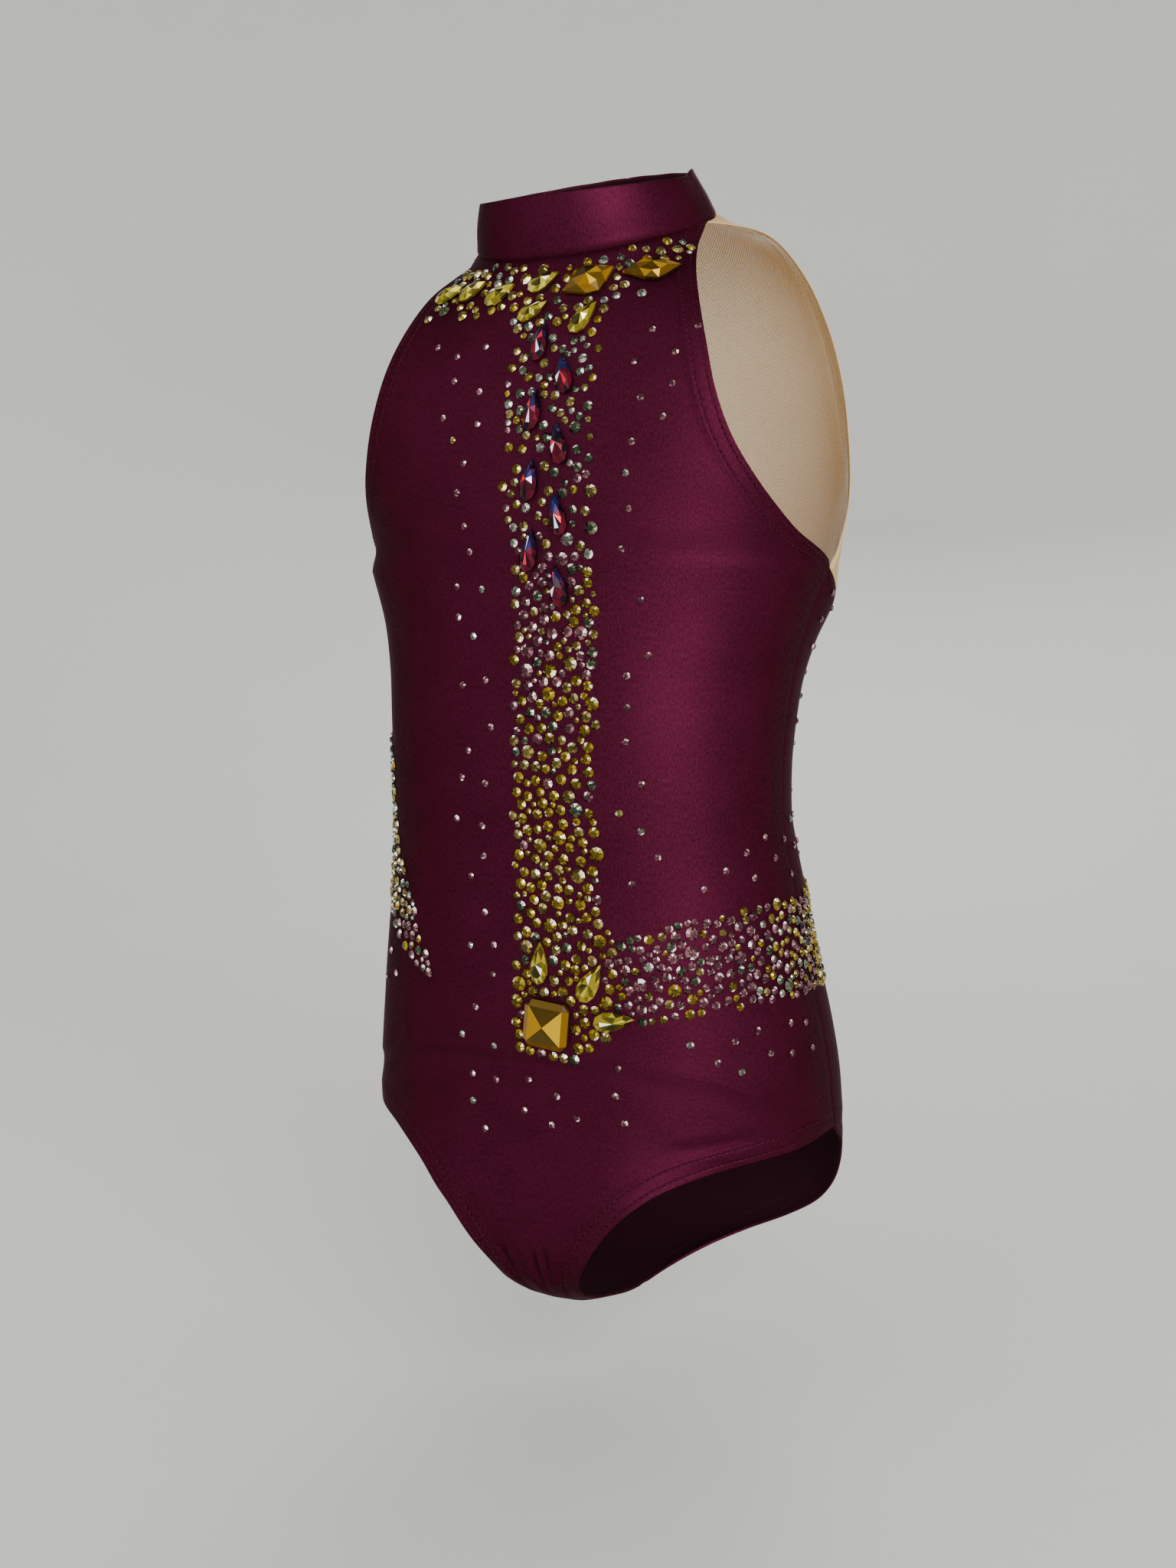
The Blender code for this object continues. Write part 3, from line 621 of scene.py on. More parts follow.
def fine_line(points, step):
    """A line of points made so fine that its nearest point to anything is about its nearest place."""
    lengths = np.linalg.norm(np.diff(points, axis=0), axis=1)
    travelled = np.concatenate([[0.0], np.cumsum(lengths)])
    wanted = np.linspace(0.0, travelled[-1], max(2, int(travelled[-1] / step) + 1))
    return np.stack([np.interp(wanted, travelled, points[:, axis]) for axis in range(3)], axis=1)


def point_tree(points):
    """Points that the nearest one to a place can be found among."""
    tree = KDTree(len(points))
    for index, point in enumerate(points):
        tree.insert(point, index)
    tree.balance()
    return tree


def distance_to(lines, grid):
    """How far each point of a grid lies from the nearest of some lines, in millimetres."""
    tree = point_tree(np.concatenate([fine_line(line, EDGE_STEP * MM) for line in lines]))
    flat = grid.reshape(-1, 3)
    found = np.array([tree.find(point)[2] for point in flat])
    return found.reshape(grid.shape[:2]) / MM


def smooth_step(value, low, high):
    share = np.clip((value - low) / (high - low), 0.0, 1.0)
    return share * share * (3 - 2 * share)


def groove(distance, place, width):
    return np.exp(-((distance - place) / width) ** 2)


def crease_depth(grid, creases):
    """How far listed soft folds push each point of a grid in, in millimetres."""
    depth = np.zeros(grid.shape[:2])
    across, height = grid[..., 0] / MM, grid[..., 2] / MM
    for crease in creases:
        run = np.array([crease.end_x - crease.start_x, crease.end_z - crease.start_z])
        length = np.linalg.norm(run)
        along = ((across - crease.start_x) * run[0] + (height - crease.start_z) * run[1]) / length**2
        side = ((across - crease.start_x) * run[1] - (height - crease.start_z) * run[0]) / length
        fade = smooth_step(along, *CREASE_FADE_IN) * (1 - smooth_step(along, *CREASE_FADE_OUT))
        trough = groove(side, 0.0, crease.width)
        lip = CREASE_LIP * groove(np.abs(side), CREASE_LIP_PLACE * crease.width, crease.width)
        depth += crease.depth * fade * (trough - lip)
    return depth


def unevenness(grid, size, height):
    """Slow, slight swells of worn cloth."""
    flat = grid.reshape(-1, 3) / size
    values = [noise.noise(Vector(point)) for point in flat]
    return np.array(values).reshape(grid.shape[:2]) * height


def dress_grid(grid, hems, seams, creases=(), swell=CLOTH_SWELL, faces_back=False):
    """Raise the hems, sink the stitch lines and seams and lay in the folds.

    Returns the grid, and how far each of its points lies from a hem's edge in millimetres.
    """
    hem = distance_to(hems, grid)
    seam = distance_to(seams, grid)
    push = HEM_RISE * (1 - smooth_step(hem, HEM_WIDTH, HEM_WIDTH + HEM_SLOPE))
    stitches = groove(hem, HEM_STITCH, HEM_STITCH_WIDTH) + groove(hem, EDGE_STITCH, EDGE_STITCH_WIDTH)
    push -= STITCH_SINK * stitches
    push -= SEAM_SINK * groove(seam, 0.0, SEAM_WIDTH)
    push -= crease_depth(grid, creases)
    calm = smooth_step(np.minimum(seam, hem), 0.0, CALM_WIDTH)
    push += unevenness(grid, SWELL_SIZE * MM, swell) * calm
    outwards = grid_normals(grid) * (-1 if faces_back else 1)
    return grid + outwards * push[..., None] * MM, hem


def sheet_mesh(grid, hem, flip):
    """A grid of faces moved onto a grid of points. Its UV map is in metres of cloth, "hem" in millimetres."""
    down, across = grid.shape[0] - 1, grid.shape[1] - 1
    widths = np.linalg.norm(np.diff(grid, axis=1), axis=2)
    along = np.concatenate([np.zeros((down + 1, 1)), np.cumsum(widths, axis=1)], axis=1)
    along -= along[:, across // 2:across // 2 + 1]
    falls = np.linalg.norm(np.diff(grid, axis=0), axis=2).mean(axis=1)
    fallen = np.concatenate([[0.0], np.cumsum(falls)])
    bm = bmesh.new()
    bmesh.ops.create_grid(bm, x_segments=across, y_segments=down, size=1.0)
    uv = bm.loops.layers.uv.new("UVMap")
    hem_layer = bm.verts.layers.float.new("hem")
    places = {}
    for vert in bm.verts:
        column = round((vert.co.x + 1) / 2 * across)
        line = round((1 - vert.co.y) / 2 * down)
        places[vert] = (line, column)
        vert[hem_layer] = hem[line, column]
        vert.co = grid[line, column]
    for face in bm.faces:
        for loop in face.loops:
            line, column = places[loop.vert]
            loop[uv].uv = (along[line, column], -fallen[line])
    if flip:
        bmesh.ops.reverse_faces(bm, faces=bm.faces)
    return bm


def add_piece(name, bm, *finishes):
    """An object made from a bmesh, with its finishes."""
    bm.normal_update()
    mesh = bpy.data.meshes.new(name)
    bm.to_mesh(mesh)
    bm.free()
    for finish in finishes:
        mesh.materials.append(finish)
    obj = bpy.data.objects.new(name, mesh)
    bpy.context.scene.collection.objects.link(obj)
    return obj


def add_cloth(name, grid, hem, wall, finishes, flip=False):
    """A cloth piece: its outer surface, a wall inwards from it and rounded rims."""
    obj = add_piece(name, sheet_mesh(grid, hem, flip), *finishes)
    obj.data.shade_smooth()
    thick = obj.modifiers.new("wall", "SOLIDIFY")
    thick.thickness = wall
    thick.offset = -1.0
    thick.use_even_offset = True
    thick.material_offset = 1
    thick.material_offset_rim = 0
    rim = obj.modifiers.new("rounded rim", "BEVEL")
    rim.width = wall * RIM_SHARE
    rim.segments = RIM_SEGMENTS
    rim.limit_method = "ANGLE"
    rim.angle_limit = RIM_ANGLE
    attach(obj, "root")
    return obj


def surface_tree(grid, flip):
    """The cloth's outer surface, for rays and nearest points."""
    bm = sheet_mesh(grid, np.zeros(grid.shape[:2]), flip)
    bm.normal_update()
    tree = BVHTree.FromBMesh(bm)
    bm.free()
    return tree


def thread_leg(bm, start, end, width):
    """One short, rounded length of thread from start to end."""
    run = end - start
    along = run.normalized()
    side = along.orthogonal().normalized()
    place = Matrix((along * (run.length / 2), side * width, along.cross(side) * width)).transposed().to_4x4()
    place.translation = (start + end) / 2
    bmesh.ops.create_icosphere(bm, subdivisions=1, radius=1.0, matrix=place)


def inset_points(edge, tree, distance, step):
    """Even steps along a cloth edge, moved in over the cloth by distance, and the way out of the cloth."""
    line = fine_line(edge, step)
    ahead = np.gradient(line, axis=0)
    spots = []
    for point, run in zip(line, ahead):
        _, normal, _, _ = tree.find_nearest(Vector(point))
        inwards = normal.cross(Vector(run)).normalized()
        ways = [tree.find_nearest(Vector(point) + inwards * way * distance) for way in (1, -1)]
        spot, out, _, _ = min(ways, key=lambda found: found[3])
        spots.append((spot, out))
    return spots


def stitch_row(bm, edge, tree, distance):
    """A row of straight stitches parallel to an edge."""
    spots = inset_points(edge, tree, distance * MM, STITCH_PITCH * MM)
    for (spot, out), (after, _) in zip(spots, spots[1:]):
        run = (after - spot) * STITCH_SHARE
        start = spot + out * STITCH_LIFT * MM
        thread_leg(bm, start, start + run, STITCH_WIDTH * MM)


def zigzag_row(bm, edge, tree):
    """The zigzag stitch over the net's folded edge."""
    near = inset_points(edge, tree, ZIGZAG_NEAR * MM, ZIGZAG_PITCH * MM)
    far = inset_points(edge, tree, ZIGZAG_FAR * MM, ZIGZAG_PITCH * MM)
    corners = [(near if i % 2 else far)[i] for i in range(min(len(near), len(far)))]
    for (spot, out), (after, out_after) in zip(corners, corners[1:]):
        thread_leg(bm, spot + out * STITCH_LIFT * MM, after + out_after * STITCH_LIFT * MM, ZIGZAG_WIDTH * MM)


def drop_outline(length, width):
    """A drop seen from above: a round foot that narrows to a point at the top."""
    points = []
    for step in range(DROP_POINTS):
        angle = 2 * math.pi * step / DROP_POINTS
        narrow = ((1 - math.cos(angle)) / 2) ** DROP_TAPER
        points.append(Vector((width / 2 * math.sin(angle) * narrow, length / 2 * math.cos(angle))))
    return points


def marquise_outline(length, width):
    """A long eight-sided shape with two points and straight shoulders, the same after half a turn."""
    corners = HALF_MARQUISE + [(-x, -y) for x, y in HALF_MARQUISE]
    return [Vector((x * width / 2, y * length / 2)) for x, y in corners]


def square_outline(length, width):
    """A square with cut corners."""
    cut = SQUARE_CORNER
    corners = [(-cut, 1), (cut, 1), (1, cut), (1, -cut), (cut, -1), (-cut, -1), (-1, -cut), (-1, cut)]
    return [Vector((x * width / 2, y * length / 2)) for x, y in corners]


def chest_stones():
    stones = []
    for i in range(CHEST_DROPS):
        swing = -1 if i % 2 == 0 else 1
        stones.append(Stone(f"gem_drop_chest_{i + 1}", "drop", "garnet",
                            CHEST_STRIP_ACROSS + swing * CHEST_ZIGZAG, CHEST_TOP - i * CHEST_PITCH,
                            -swing * CHEST_LEAN, *CHEST_DROP_SIZE))
    return stones


OUTLINES = {"drop": drop_outline, "marquise": marquise_outline, "square": square_outline}


def stone_place(stone, tree):
    """Where a big stone sits on the front, and how far the cloth under it rises."""
    start = Vector((stone.across * MM, RAY_START_Y, stone.height * MM))
    spot, normal, _, _ = tree.ray_cast(start, Vector((0.0, 1.0, 0.0)))
    lean = math.radians(stone.lean)
    upright = Vector((math.sin(lean), 0.0, math.cos(lean)))
    tip = (upright - normal * upright.dot(normal)).normalized()
    place = Matrix((tip.cross(normal), tip, normal)).transposed().to_4x4()
    place.translation = spot
    rise = 0.0
    for share in (0.5, 1.0):
        for point in OUTLINES[stone.cut](stone.length, stone.width):
            above = place @ Vector((point.x * MM * share, point.y * MM * share, STONE_REACH))
            _, _, _, distance = tree.ray_cast(above, -normal)
            if distance is not None:
                rise = max(rise, STONE_REACH - distance)
    place.translation = spot + normal * (SEAT_GAP + rise)
    return place


def crystal_rings(stone):
    """A stone's rings of corners from its flat back to its peak: corners, outline share, height share."""
    outline = OUTLINES[stone.cut](stone.length, stone.width)
    middles = [(a + b) / 2 for a, b in zip(outline, outline[1:] + outline[:1])]
    crown = middles[1::2] if stone.cut == "square" else middles
    return [(outline, 1.0, 0.0), (outline, 1.0, GIRDLE_SHARE), (crown, *CROWNS[stone.cut]),
            (outline, 0.0, 1.0)]


def make_crystal(stone, place, finish, number):
    """A cut stone: the hull of its rings, each facet with its own painted share of light."""
    bm = bmesh.new()
    for corners, share, height in crystal_rings(stone):
        for corner in corners:
            bm.verts.new((corner.x * share * MM, corner.y * share * MM, height * stone.thick * MM))
    bmesh.ops.remove_doubles(bm, verts=bm.verts, dist=SAME_CORNER)
    hull = bmesh.ops.convex_hull(bm, input=bm.verts)
    spare = hull["geom_interior"] + hull["geom_unused"]
    inner = [item for item in spare if isinstance(item, bmesh.types.BMVert)]
    bmesh.ops.delete(bm, geom=inner, context="VERTS")
    bmesh.ops.dissolve_limit(bm, angle_limit=FLAT_ENOUGH, verts=bm.verts, edges=bm.edges)
    bmesh.ops.recalc_face_normals(bm, faces=bm.faces)
    shade_facets(bm, FACET_CHOICES["square" if stone.cut == "square" else stone.colour], number)
    bmesh.ops.transform(bm, matrix=place, verts=bm.verts)
    obj = add_piece(stone.name + "_cut", bm, finish)
    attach(obj, "root")
    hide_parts(stone.name)


def shade_facets(bm, choices, number):
    """Store on every facet which place of its palette it is painted with: painted reflections, and painted
    glints round the peak.
    """
    draw = random.Random(number)
    layer = bm.faces.layers.float.new("facet")
    peak = max(bm.verts, key=lambda vert: vert.co.z)
    round_peak = []
    for face in bm.faces:
        centre = face.calc_center_median()
        if peak in face.verts:
            round_peak.append(face)
            face[layer] = draw.choice(choices.peak_top if centre.y > 0 else choices.peak_foot)
        else:
            face[layer] = draw.choice(choices.slope_top if centre.y > 0 else choices.slope_foot)
    for face, glint in zip(draw.sample(round_peak, len(choices.glints)), choices.glints):
        face[layer] = glint


def flat_back_shape():
    """A small round stone of radius 1 and height 1: flat back, low girdle, facets up to a turned table."""
    bm = bmesh.new()
    bmesh.ops.create_circle(bm, cap_ends=True, segments=FLAT_BACK_SIDES, radius=1.0)
    bmesh.ops.reverse_faces(bm, faces=bm.faces)
    top = bm.faces[:]
    rings = ((FLAT_BACK_GIRDLE, 1.0, 0.0), (1.0, FLAT_BACK_TABLE, math.pi / FLAT_BACK_SIDES))
    for height, share, turn in rings:
        raised = bmesh.ops.extrude_face_region(bm, geom=top, use_keep_orig=height == FLAT_BACK_GIRDLE)
        ring = [item for item in raised["geom"] if isinstance(item, bmesh.types.BMVert)]
        top = [item for item in raised["geom"] if isinstance(item, bmesh.types.BMFace)]
        for vert in ring:
            vert.co.z = height
        bmesh.ops.scale(bm, vec=(share, share, 1.0), verts=ring)
        bmesh.ops.rotate(bm, cent=(0.0, 0.0, 0.0), matrix=Matrix.Rotation(turn, 3, "Z"), verts=ring)
    bmesh.ops.poke(bm, faces=top)
    bmesh.ops.triangulate(bm, faces=[face for face in bm.faces if len(face.verts) == 4])
    bmesh.ops.recalc_face_normals(bm, faces=bm.faces)
    bm.faces.layers.float.new("facet")
    mesh = bpy.data.meshes.new("flat back stone")
    bm.to_mesh(mesh)
    bm.free()
    return mesh


def shade_flat_back(faces, facet, out, draw):
    """Painted highlight and shade: a small stone is painted bright on one side and dark on the other, with a
    painted star of reflections in its dark table.
    """
    side = Vector((0.0, 0.0, 1.0)).cross(out).normalized()
    aim = draw.gauss(PAINTED_GLINT_SIDE, PAINTED_GLINT_SPREAD)
    glint = side * math.cos(math.radians(aim)) + out.cross(side) * math.sin(math.radians(aim))
    whole = draw.uniform(-FACET_SHIFT, FACET_SHIFT)
    for number, face in enumerate(faces):
        lift = face.normal.dot(out)
        if lift > TABLE_LIFT:
            bright = TABLE_DARK + TABLE_STAR * (number % 2) + draw.uniform(-FACET_SHIFT, FACET_SHIFT)
        elif lift < GIRDLE_LIFT:
            bright = GIRDLE_DARK
        else:
            # Painted highlight: crown facets facing the glint side are painted brighter
            bright = draw.choice(CROWN_PLACES) + PAINTED_GLINT_GAIN * max(0.0, face.normal.dot(glint)) ** PAINTED_GLINT_POWER
        face[facet] = min(1.0, max(0.0, bright + whole))


def add_flat_backs(sort, beads, shape, finish, draw):
    """All small stones of one colour, as one piece."""
    bm = bmesh.new()
    facet = bm.faces.layers.float.new("facet")
    corners, sides = len(shape.vertices), len(shape.polygons)
    for bead in beads:
        bm.from_mesh(shape)
        bm.verts.ensure_lookup_table()
        bm.faces.ensure_lookup_table()
        side = bead.out.orthogonal().normalized()
        place = Matrix((side, bead.out.cross(side), bead.out)).transposed().to_4x4()
        place @= Matrix.Rotation(draw.uniform(0, math.tau), 4, "Z")
        place @= Matrix.Diagonal((bead.radius, bead.radius, bead.radius * FLAT_BACK_HEIGHT, 1.0))
        place.translation = bead.spot + bead.out * BEAD_LIFT * MM
        bmesh.ops.transform(bm, matrix=place, verts=bm.verts[-corners:])
        faces = bm.faces[-sides:]
        for face in faces:
            face.normal_update()
        shade_flat_back(faces, facet, bead.out, draw)
    obj = add_piece(f"stones_{sort}", bm, finish)
    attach(obj, "root")


def polygon_holds(outline, u, v):
    """Whether a point lies inside a closed outline."""
    inside = False
    for (u1, v1), (u2, v2) in zip(outline, outline[1:] + outline[:1]):
        if (v1 > v) != (v2 > v) and u < (u2 - u1) * (v - v1) / (v2 - v1) + u1:
            inside = not inside
    return inside


Bead = namedtuple("Bead", "spot out radius sort")


class StoneField:
    """The small stones laid so far, each clear of the others and of the big stones."""

    def __init__(self, front, back, crystals, draw):
        self.front, self.back, self.draw = front, back, draw
        self.beads = []
        self.places = np.zeros((MOST_BEADS, 3))
        self.radii = np.zeros(MOST_BEADS)
        outlines = []
        self.crystals = []
        for stone, place in crystals:
            corners = OUTLINES[stone.cut](stone.length, stone.width)
            flat = [(corner.x, corner.y) for corner in corners]
            self.crystals.append((place.inverted(), flat))
            ring = np.array([place @ Vector((x * MM, y * MM, 0.0)) for x, y in flat + flat[:1]])
            outlines.extend(fine_line(ring, 0.5 * MM))
        self.outlines = point_tree(outlines)

    def from_front(self, across, height):
        """The cloth seen from straight in front."""
        start = Vector((across * MM, RAY_START_Y, height * MM))
        spot, out, _, _ = self.front.ray_cast(start, Vector((0.0, 1.0, 0.0)))
        return spot, out

    def from_side(self, angle, height):
        """The cloth seen from an angle round the body's axis, counted from the centre front to the left."""
        turn = math.radians(angle)
        away = Vector((math.sin(turn), -math.cos(turn), 0.0))
        start = Vector((0.0, AXIS_Y * MM, height * MM)) + away * SIDE_RAY_START
        hits = [tree.ray_cast(start, -away) for tree in (self.front, self.back)]
        hits = [hit for hit in hits if hit[0] is not None]
        if not hits:
            return None, None
        spot, out, _, _ = min(hits, key=lambda hit: hit[3])
        return spot, out

    def is_free(self, spot, radius, gap):
        laid = len(self.beads)
        if laid:
            apart = np.linalg.norm(self.places[:laid] - np.array(spot), axis=1)
            if np.any(apart < self.radii[:laid] + radius + gap):
                return False
        _, _, distance = self.outlines.find(spot)
        if distance < radius + CRYSTAL_CLEAR * MM:
            return False
        for into, flat in self.crystals:
            local = into @ spot
            if abs(local.z) < STONE_REACH and polygon_holds(flat, local.x / MM, local.y / MM):
                return False
        return True

    def lay(self, spot, out, radius, sort):
        self.places[len(self.beads)] = spot
        self.radii[len(self.beads)] = radius
        self.beads.append(Bead(spot, out, radius, sort))

    def fill(self, outline, cast, mixes, sizes, gap, stray=0.0):
        """Throw stones of falling size at a region and keep each with room. A few stray over its edge."""
        low_u, high_u = min(u for u, _ in outline), max(u for u, _ in outline)
        low_v, high_v = min(v for _, v in outline), max(v for _, v in outline)
        for size in sizes:
            for _ in range(size.throws):
                u, v = self.draw.uniform(low_u, high_u), self.draw.uniform(low_v, high_v)
                radius = size.across / 2 * MM * self.draw.uniform(0.95, 1.05)
                choice = self.draw.random()
                aim_u, aim_v = u + self.draw.gauss(0, stray), v + self.draw.gauss(0, stray)
                if not polygon_holds(outline, aim_u, aim_v):
                    continue
                spot, out = cast(u, v)
                if spot is None or not self.is_free(spot, radius, gap * MM):
                    continue
                self.lay(spot, out, radius, pick_sort(mixes, u, v, choice))


def pick_sort(mixes, u, v, choice):
    """The colour of a stone from the mix that holds where it lies."""
    holding = [row for row in mixes if (v >= row.until if row.axis == "down" else u <= row.until)]
    mix = (holding or mixes[-1:])[0]
    for sort in SORTS:
        choice -= getattr(mix, sort)
        if choice < 0:
            return sort
    return mix.rest


def lay_small_stones(field):
    field.fill(TOP_BAR, field.from_front, FRONT_MIX, TOP_SIZES, BEAD_GAP, STRAY_CLOSE)
    field.fill(FRONT_BAND_TOP, field.from_front, FRONT_MIX, UPPER_SIZES, BEAD_GAP, STRAY_LOOSE)
    field.fill(FRONT_BAND_LOW, field.from_front, FRONT_MIX, LOWER_SIZES, BEAD_GAP, STRAY_CLOSE)
    field.fill(HIP_BAND, field.from_side, HIP_MIX, HIP_SIZES, BEAD_GAP)
    field.fill(FLANK_WING, field.from_side, WING_MIX, WING_SIZES, BEAD_GAP)
    for outline in FRONT_SCATTER:
        field.fill(outline, field.from_front, SCATTER_MIX, SCATTER_SIZES, SCATTER_GAP)
    for outline in SIDE_SCATTER:
        field.fill(outline, field.from_side, SCATTER_MIX, SCATTER_SIZES, SCATTER_GAP)


def add_node(tree, kind, inputs=(), **settings):
    """A shader node with its settings and inputs; an input is a value or another node's output."""
    node = tree.nodes.new(kind)
    for name, value in settings.items():
        setattr(node, name, value)
    for key, value in dict(inputs).items():
        socket = node.inputs[key]
        if isinstance(value, bpy.types.NodeSocket):
            tree.links.new(value, socket)
        else:
            socket.default_value = value
    return node


def math_node(tree, operation, first, second=0.0, third=0.0):
    return add_node(tree, "ShaderNodeMath", {0: first, 1: second, 2: third}, operation=operation).outputs[0]


def vector_node(tree, operation, first, second=(0.0, 0.0, 0.0)):
    return add_node(tree, "ShaderNodeVectorMath", {0: first, 1: second}, operation=operation).outputs[0]


def noise_node(tree, place, scale, detail):
    """Noise between 0 and 1."""
    inputs = {"Vector": place, "Scale": scale, "Detail": detail}
    return add_node(tree, "ShaderNodeTexNoise", inputs).outputs[0]


def object_place(tree):
    return add_node(tree, "ShaderNodeTexCoord").outputs["Object"]


def attribute(tree, name):
    """A number stored on the mesh."""
    return add_node(tree, "ShaderNodeAttribute", attribute_name=name).outputs["Fac"]


def tint(tree, colour, shade):
    """A colour, or a place, times a value."""
    return add_node(tree, "ShaderNodeVectorMath", {0: colour, "Scale": shade}, operation="SCALE").outputs[0]


def add_bump(tree, shader, height, strength, distance):
    """Relief on a finish: height is a node's value, distance the relief's depth in millimetres."""
    inputs = {"Strength": strength, "Distance": distance * MM, "Height": height}
    tree.links.new(add_node(tree, "ShaderNodeBump", inputs).outputs[0], shader.inputs["Normal"])


def new_group(name, inputs, outputs):
    group = bpy.data.node_groups.new(name, "ShaderNodeTree")
    for label, kind in inputs:
        group.interface.new_socket(label, in_out="INPUT", socket_type=kind)
    for label, kind in outputs:
        group.interface.new_socket(label, in_out="OUTPUT", socket_type=kind)
    return group, group.nodes.new("NodeGroupInput").outputs, group.nodes.new("NodeGroupOutput").inputs


def knit_group():
    """Fine knit: rows of loops with a little unevenness. Gives a shade around 1 and a height."""
    group, given, result = new_group(
        "fine knit",
        [("Cloth place", "NodeSocketVector"), ("Pitch", "NodeSocketFloat"), ("Contrast", "NodeSocketFloat")],
        [("Shade", "NodeSocketFloat"), ("Height", "NodeSocketFloat")])
    scaled = tint(group, given["Cloth place"], math_node(group, "DIVIDE", 1.0, given["Pitch"]))
    stretched = add_node(group, "ShaderNodeMapping", {"Vector": scaled, "Scale": (1.0, 0.45, 1.0)})
    grain = noise_node(group, stretched.outputs[0], 1.0, 1.0)
    patches = noise_node(group, scaled, 0.035, 2.0)
    split = add_node(group, "ShaderNodeSeparateXYZ", {0: scaled})
    wales = math_node(group, "SINE", math_node(group, "MULTIPLY", split.outputs["X"], math.pi))
    courses = math_node(group, "SINE", math_node(group, "MULTIPLY", split.outputs["Y"], math.tau))
    loops = math_node(group, "MULTIPLY", wales, courses)
    bright = math_node(group, "MULTIPLY_ADD", grain, KNIT_GRAIN, -KNIT_GRAIN / 2)
    bright = math_node(group, "MULTIPLY_ADD", loops, KNIT_LOOPS, bright)
    bright = math_node(group, "MULTIPLY_ADD", patches, KNIT_PATCHES,
                       math_node(group, "SUBTRACT", bright, KNIT_PATCHES / 2))
    shade = math_node(group, "MULTIPLY_ADD", bright, given["Contrast"], 1.0)
    height = math_node(group, "MULTIPLY_ADD", grain, 0.6, math_node(group, "MULTIPLY", loops, 0.4))
    group.links.new(shade, result["Shade"])
    group.links.new(height, result["Height"])
    return group


def stitch_line_group():
    """A sunk line that keeps its distance from the edge: 1 on the line, 0 away from it."""
    group, given, result = new_group(
        "stitch line",
        [("Distance", "NodeSocketFloat"), ("Place", "NodeSocketFloat"), ("Width", "NodeSocketFloat")],
        [("Line", "NodeSocketFloat")])
    apart = math_node(group, "ABSOLUTE", math_node(group, "SUBTRACT", given["Distance"], given["Place"]))
    line = math_node(group, "SUBTRACT", 1.0, math_node(group, "DIVIDE", apart, given["Width"]))
    group.links.new(math_node(group, "MAXIMUM", line, 0.0), result["Line"])
    return group


def place_group(tree, group, **inputs):
    """A group in a material. Returns its outputs."""
    labelled = {label.replace("_", " "): value for label, value in inputs.items()}
    return add_node(tree, "ShaderNodeGroup", labelled, node_tree=group).outputs


def new_finish(name, colour, **settings):
    """A material, its node tree and its shader, with plain numbers straight on the shader's sockets."""
    material = bpy.data.materials.new(name)
    material.use_nodes = True
    material.diffuse_color = (*colour, 1.0)
    tree = material.node_tree
    shader = tree.nodes["Principled BSDF"]
    for label, value in settings.items():
        shader.inputs[label.replace("_", " ")].default_value = value
    shader.inputs["Base Color"].default_value = (*colour, 1.0)
    return material, tree, shader


def cloth_finish(name, colour, knit, stitch_line, contrast, depth, **settings):
    """Stretch cloth: its knit in shade and relief, and the hem's two sunk stitch lines and its fold, with
    painted shade along them.
    """
    material, tree, shader = new_finish(name, colour, **settings)
    uv = add_node(tree, "ShaderNodeUVMap", uv_map="UVMap").outputs[0]
    fabric = place_group(tree, knit, Cloth_place=uv, Pitch=KNIT_PITCH * MM, Contrast=contrast)
    hem = attribute(tree, "hem")
    inner = place_group(tree, stitch_line, Distance=hem, Place=HEM_STITCH, Width=0.5)
    outer = place_group(tree, stitch_line, Distance=hem, Place=EDGE_STITCH, Width=0.4)
    fold = place_group(tree, stitch_line, Distance=hem, Place=HEM_WIDTH + 0.6, Width=0.7)
    lines = math_node(tree, "ADD", inner["Line"], outer["Line"])
    lines = math_node(tree, "MULTIPLY_ADD", fold["Line"], 0.3, lines)
    # Painted shade: the cloth's colour is darkened along the sunk stitch lines and the hem's fold
    shade = math_node(tree, "MULTIPLY_ADD", lines, -0.4, fabric["Shade"])
    tree.links.new(tint(tree, colour, shade), shader.inputs["Base Color"])
    add_bump(tree, shader, math_node(tree, "MULTIPLY_ADD", lines, -1.5, fabric["Height"]), 1.0, depth)
    rough = math_node(tree, "MULTIPLY_ADD", fabric["Height"], 0.12, settings["Roughness"] - 0.06)
    tree.links.new(rough, shader.inputs["Roughness"])
    return material


def net_finish(knit):
    """Skin-tone net: fine mesh with a small hole in every cell."""
    material, tree, shader = new_finish("skin net", NET_COLOUR, Roughness=0.75)
    uv = add_node(tree, "ShaderNodeUVMap", uv_map="UVMap").outputs[0]
    cells = (1 / (NET_PITCH * MM),) * 2 + (1.0,)
    place = add_node(tree, "ShaderNodeMapping",
                     {"Vector": uv, "Rotation": (0.0, 0.0, math.radians(45)), "Scale": cells}).outputs[0]
    cell = vector_node(tree, "SUBTRACT", vector_node(tree, "FRACTION", place), (0.5, 0.5, 0.0))
    flat = vector_node(tree, "MULTIPLY", cell, (1.0, 1.0, 0.0))
    reach = add_node(tree, "ShaderNodeVectorMath", {0: flat}, operation="LENGTH").outputs["Value"]
    folded = math_node(tree, "LESS_THAN", attribute(tree, "hem"), NET_HEM)
    yarn = math_node(tree, "MAXIMUM", math_node(tree, "GREATER_THAN", reach, NET_HOLE), folded)
    fabric = place_group(tree, knit, Cloth_place=uv, Pitch=KNIT_PITCH * MM, Contrast=0.25)
    shade = math_node(tree, "MULTIPLY_ADD", reach, 0.35, math_node(tree, "SUBTRACT", fabric["Shade"], 0.15))
    tree.links.new(tint(tree, NET_COLOUR, shade), shader.inputs["Base Color"])
    tree.links.new(yarn, shader.inputs["Alpha"])
    add_bump(tree, shader, reach, 0.8, 0.15)
    return material


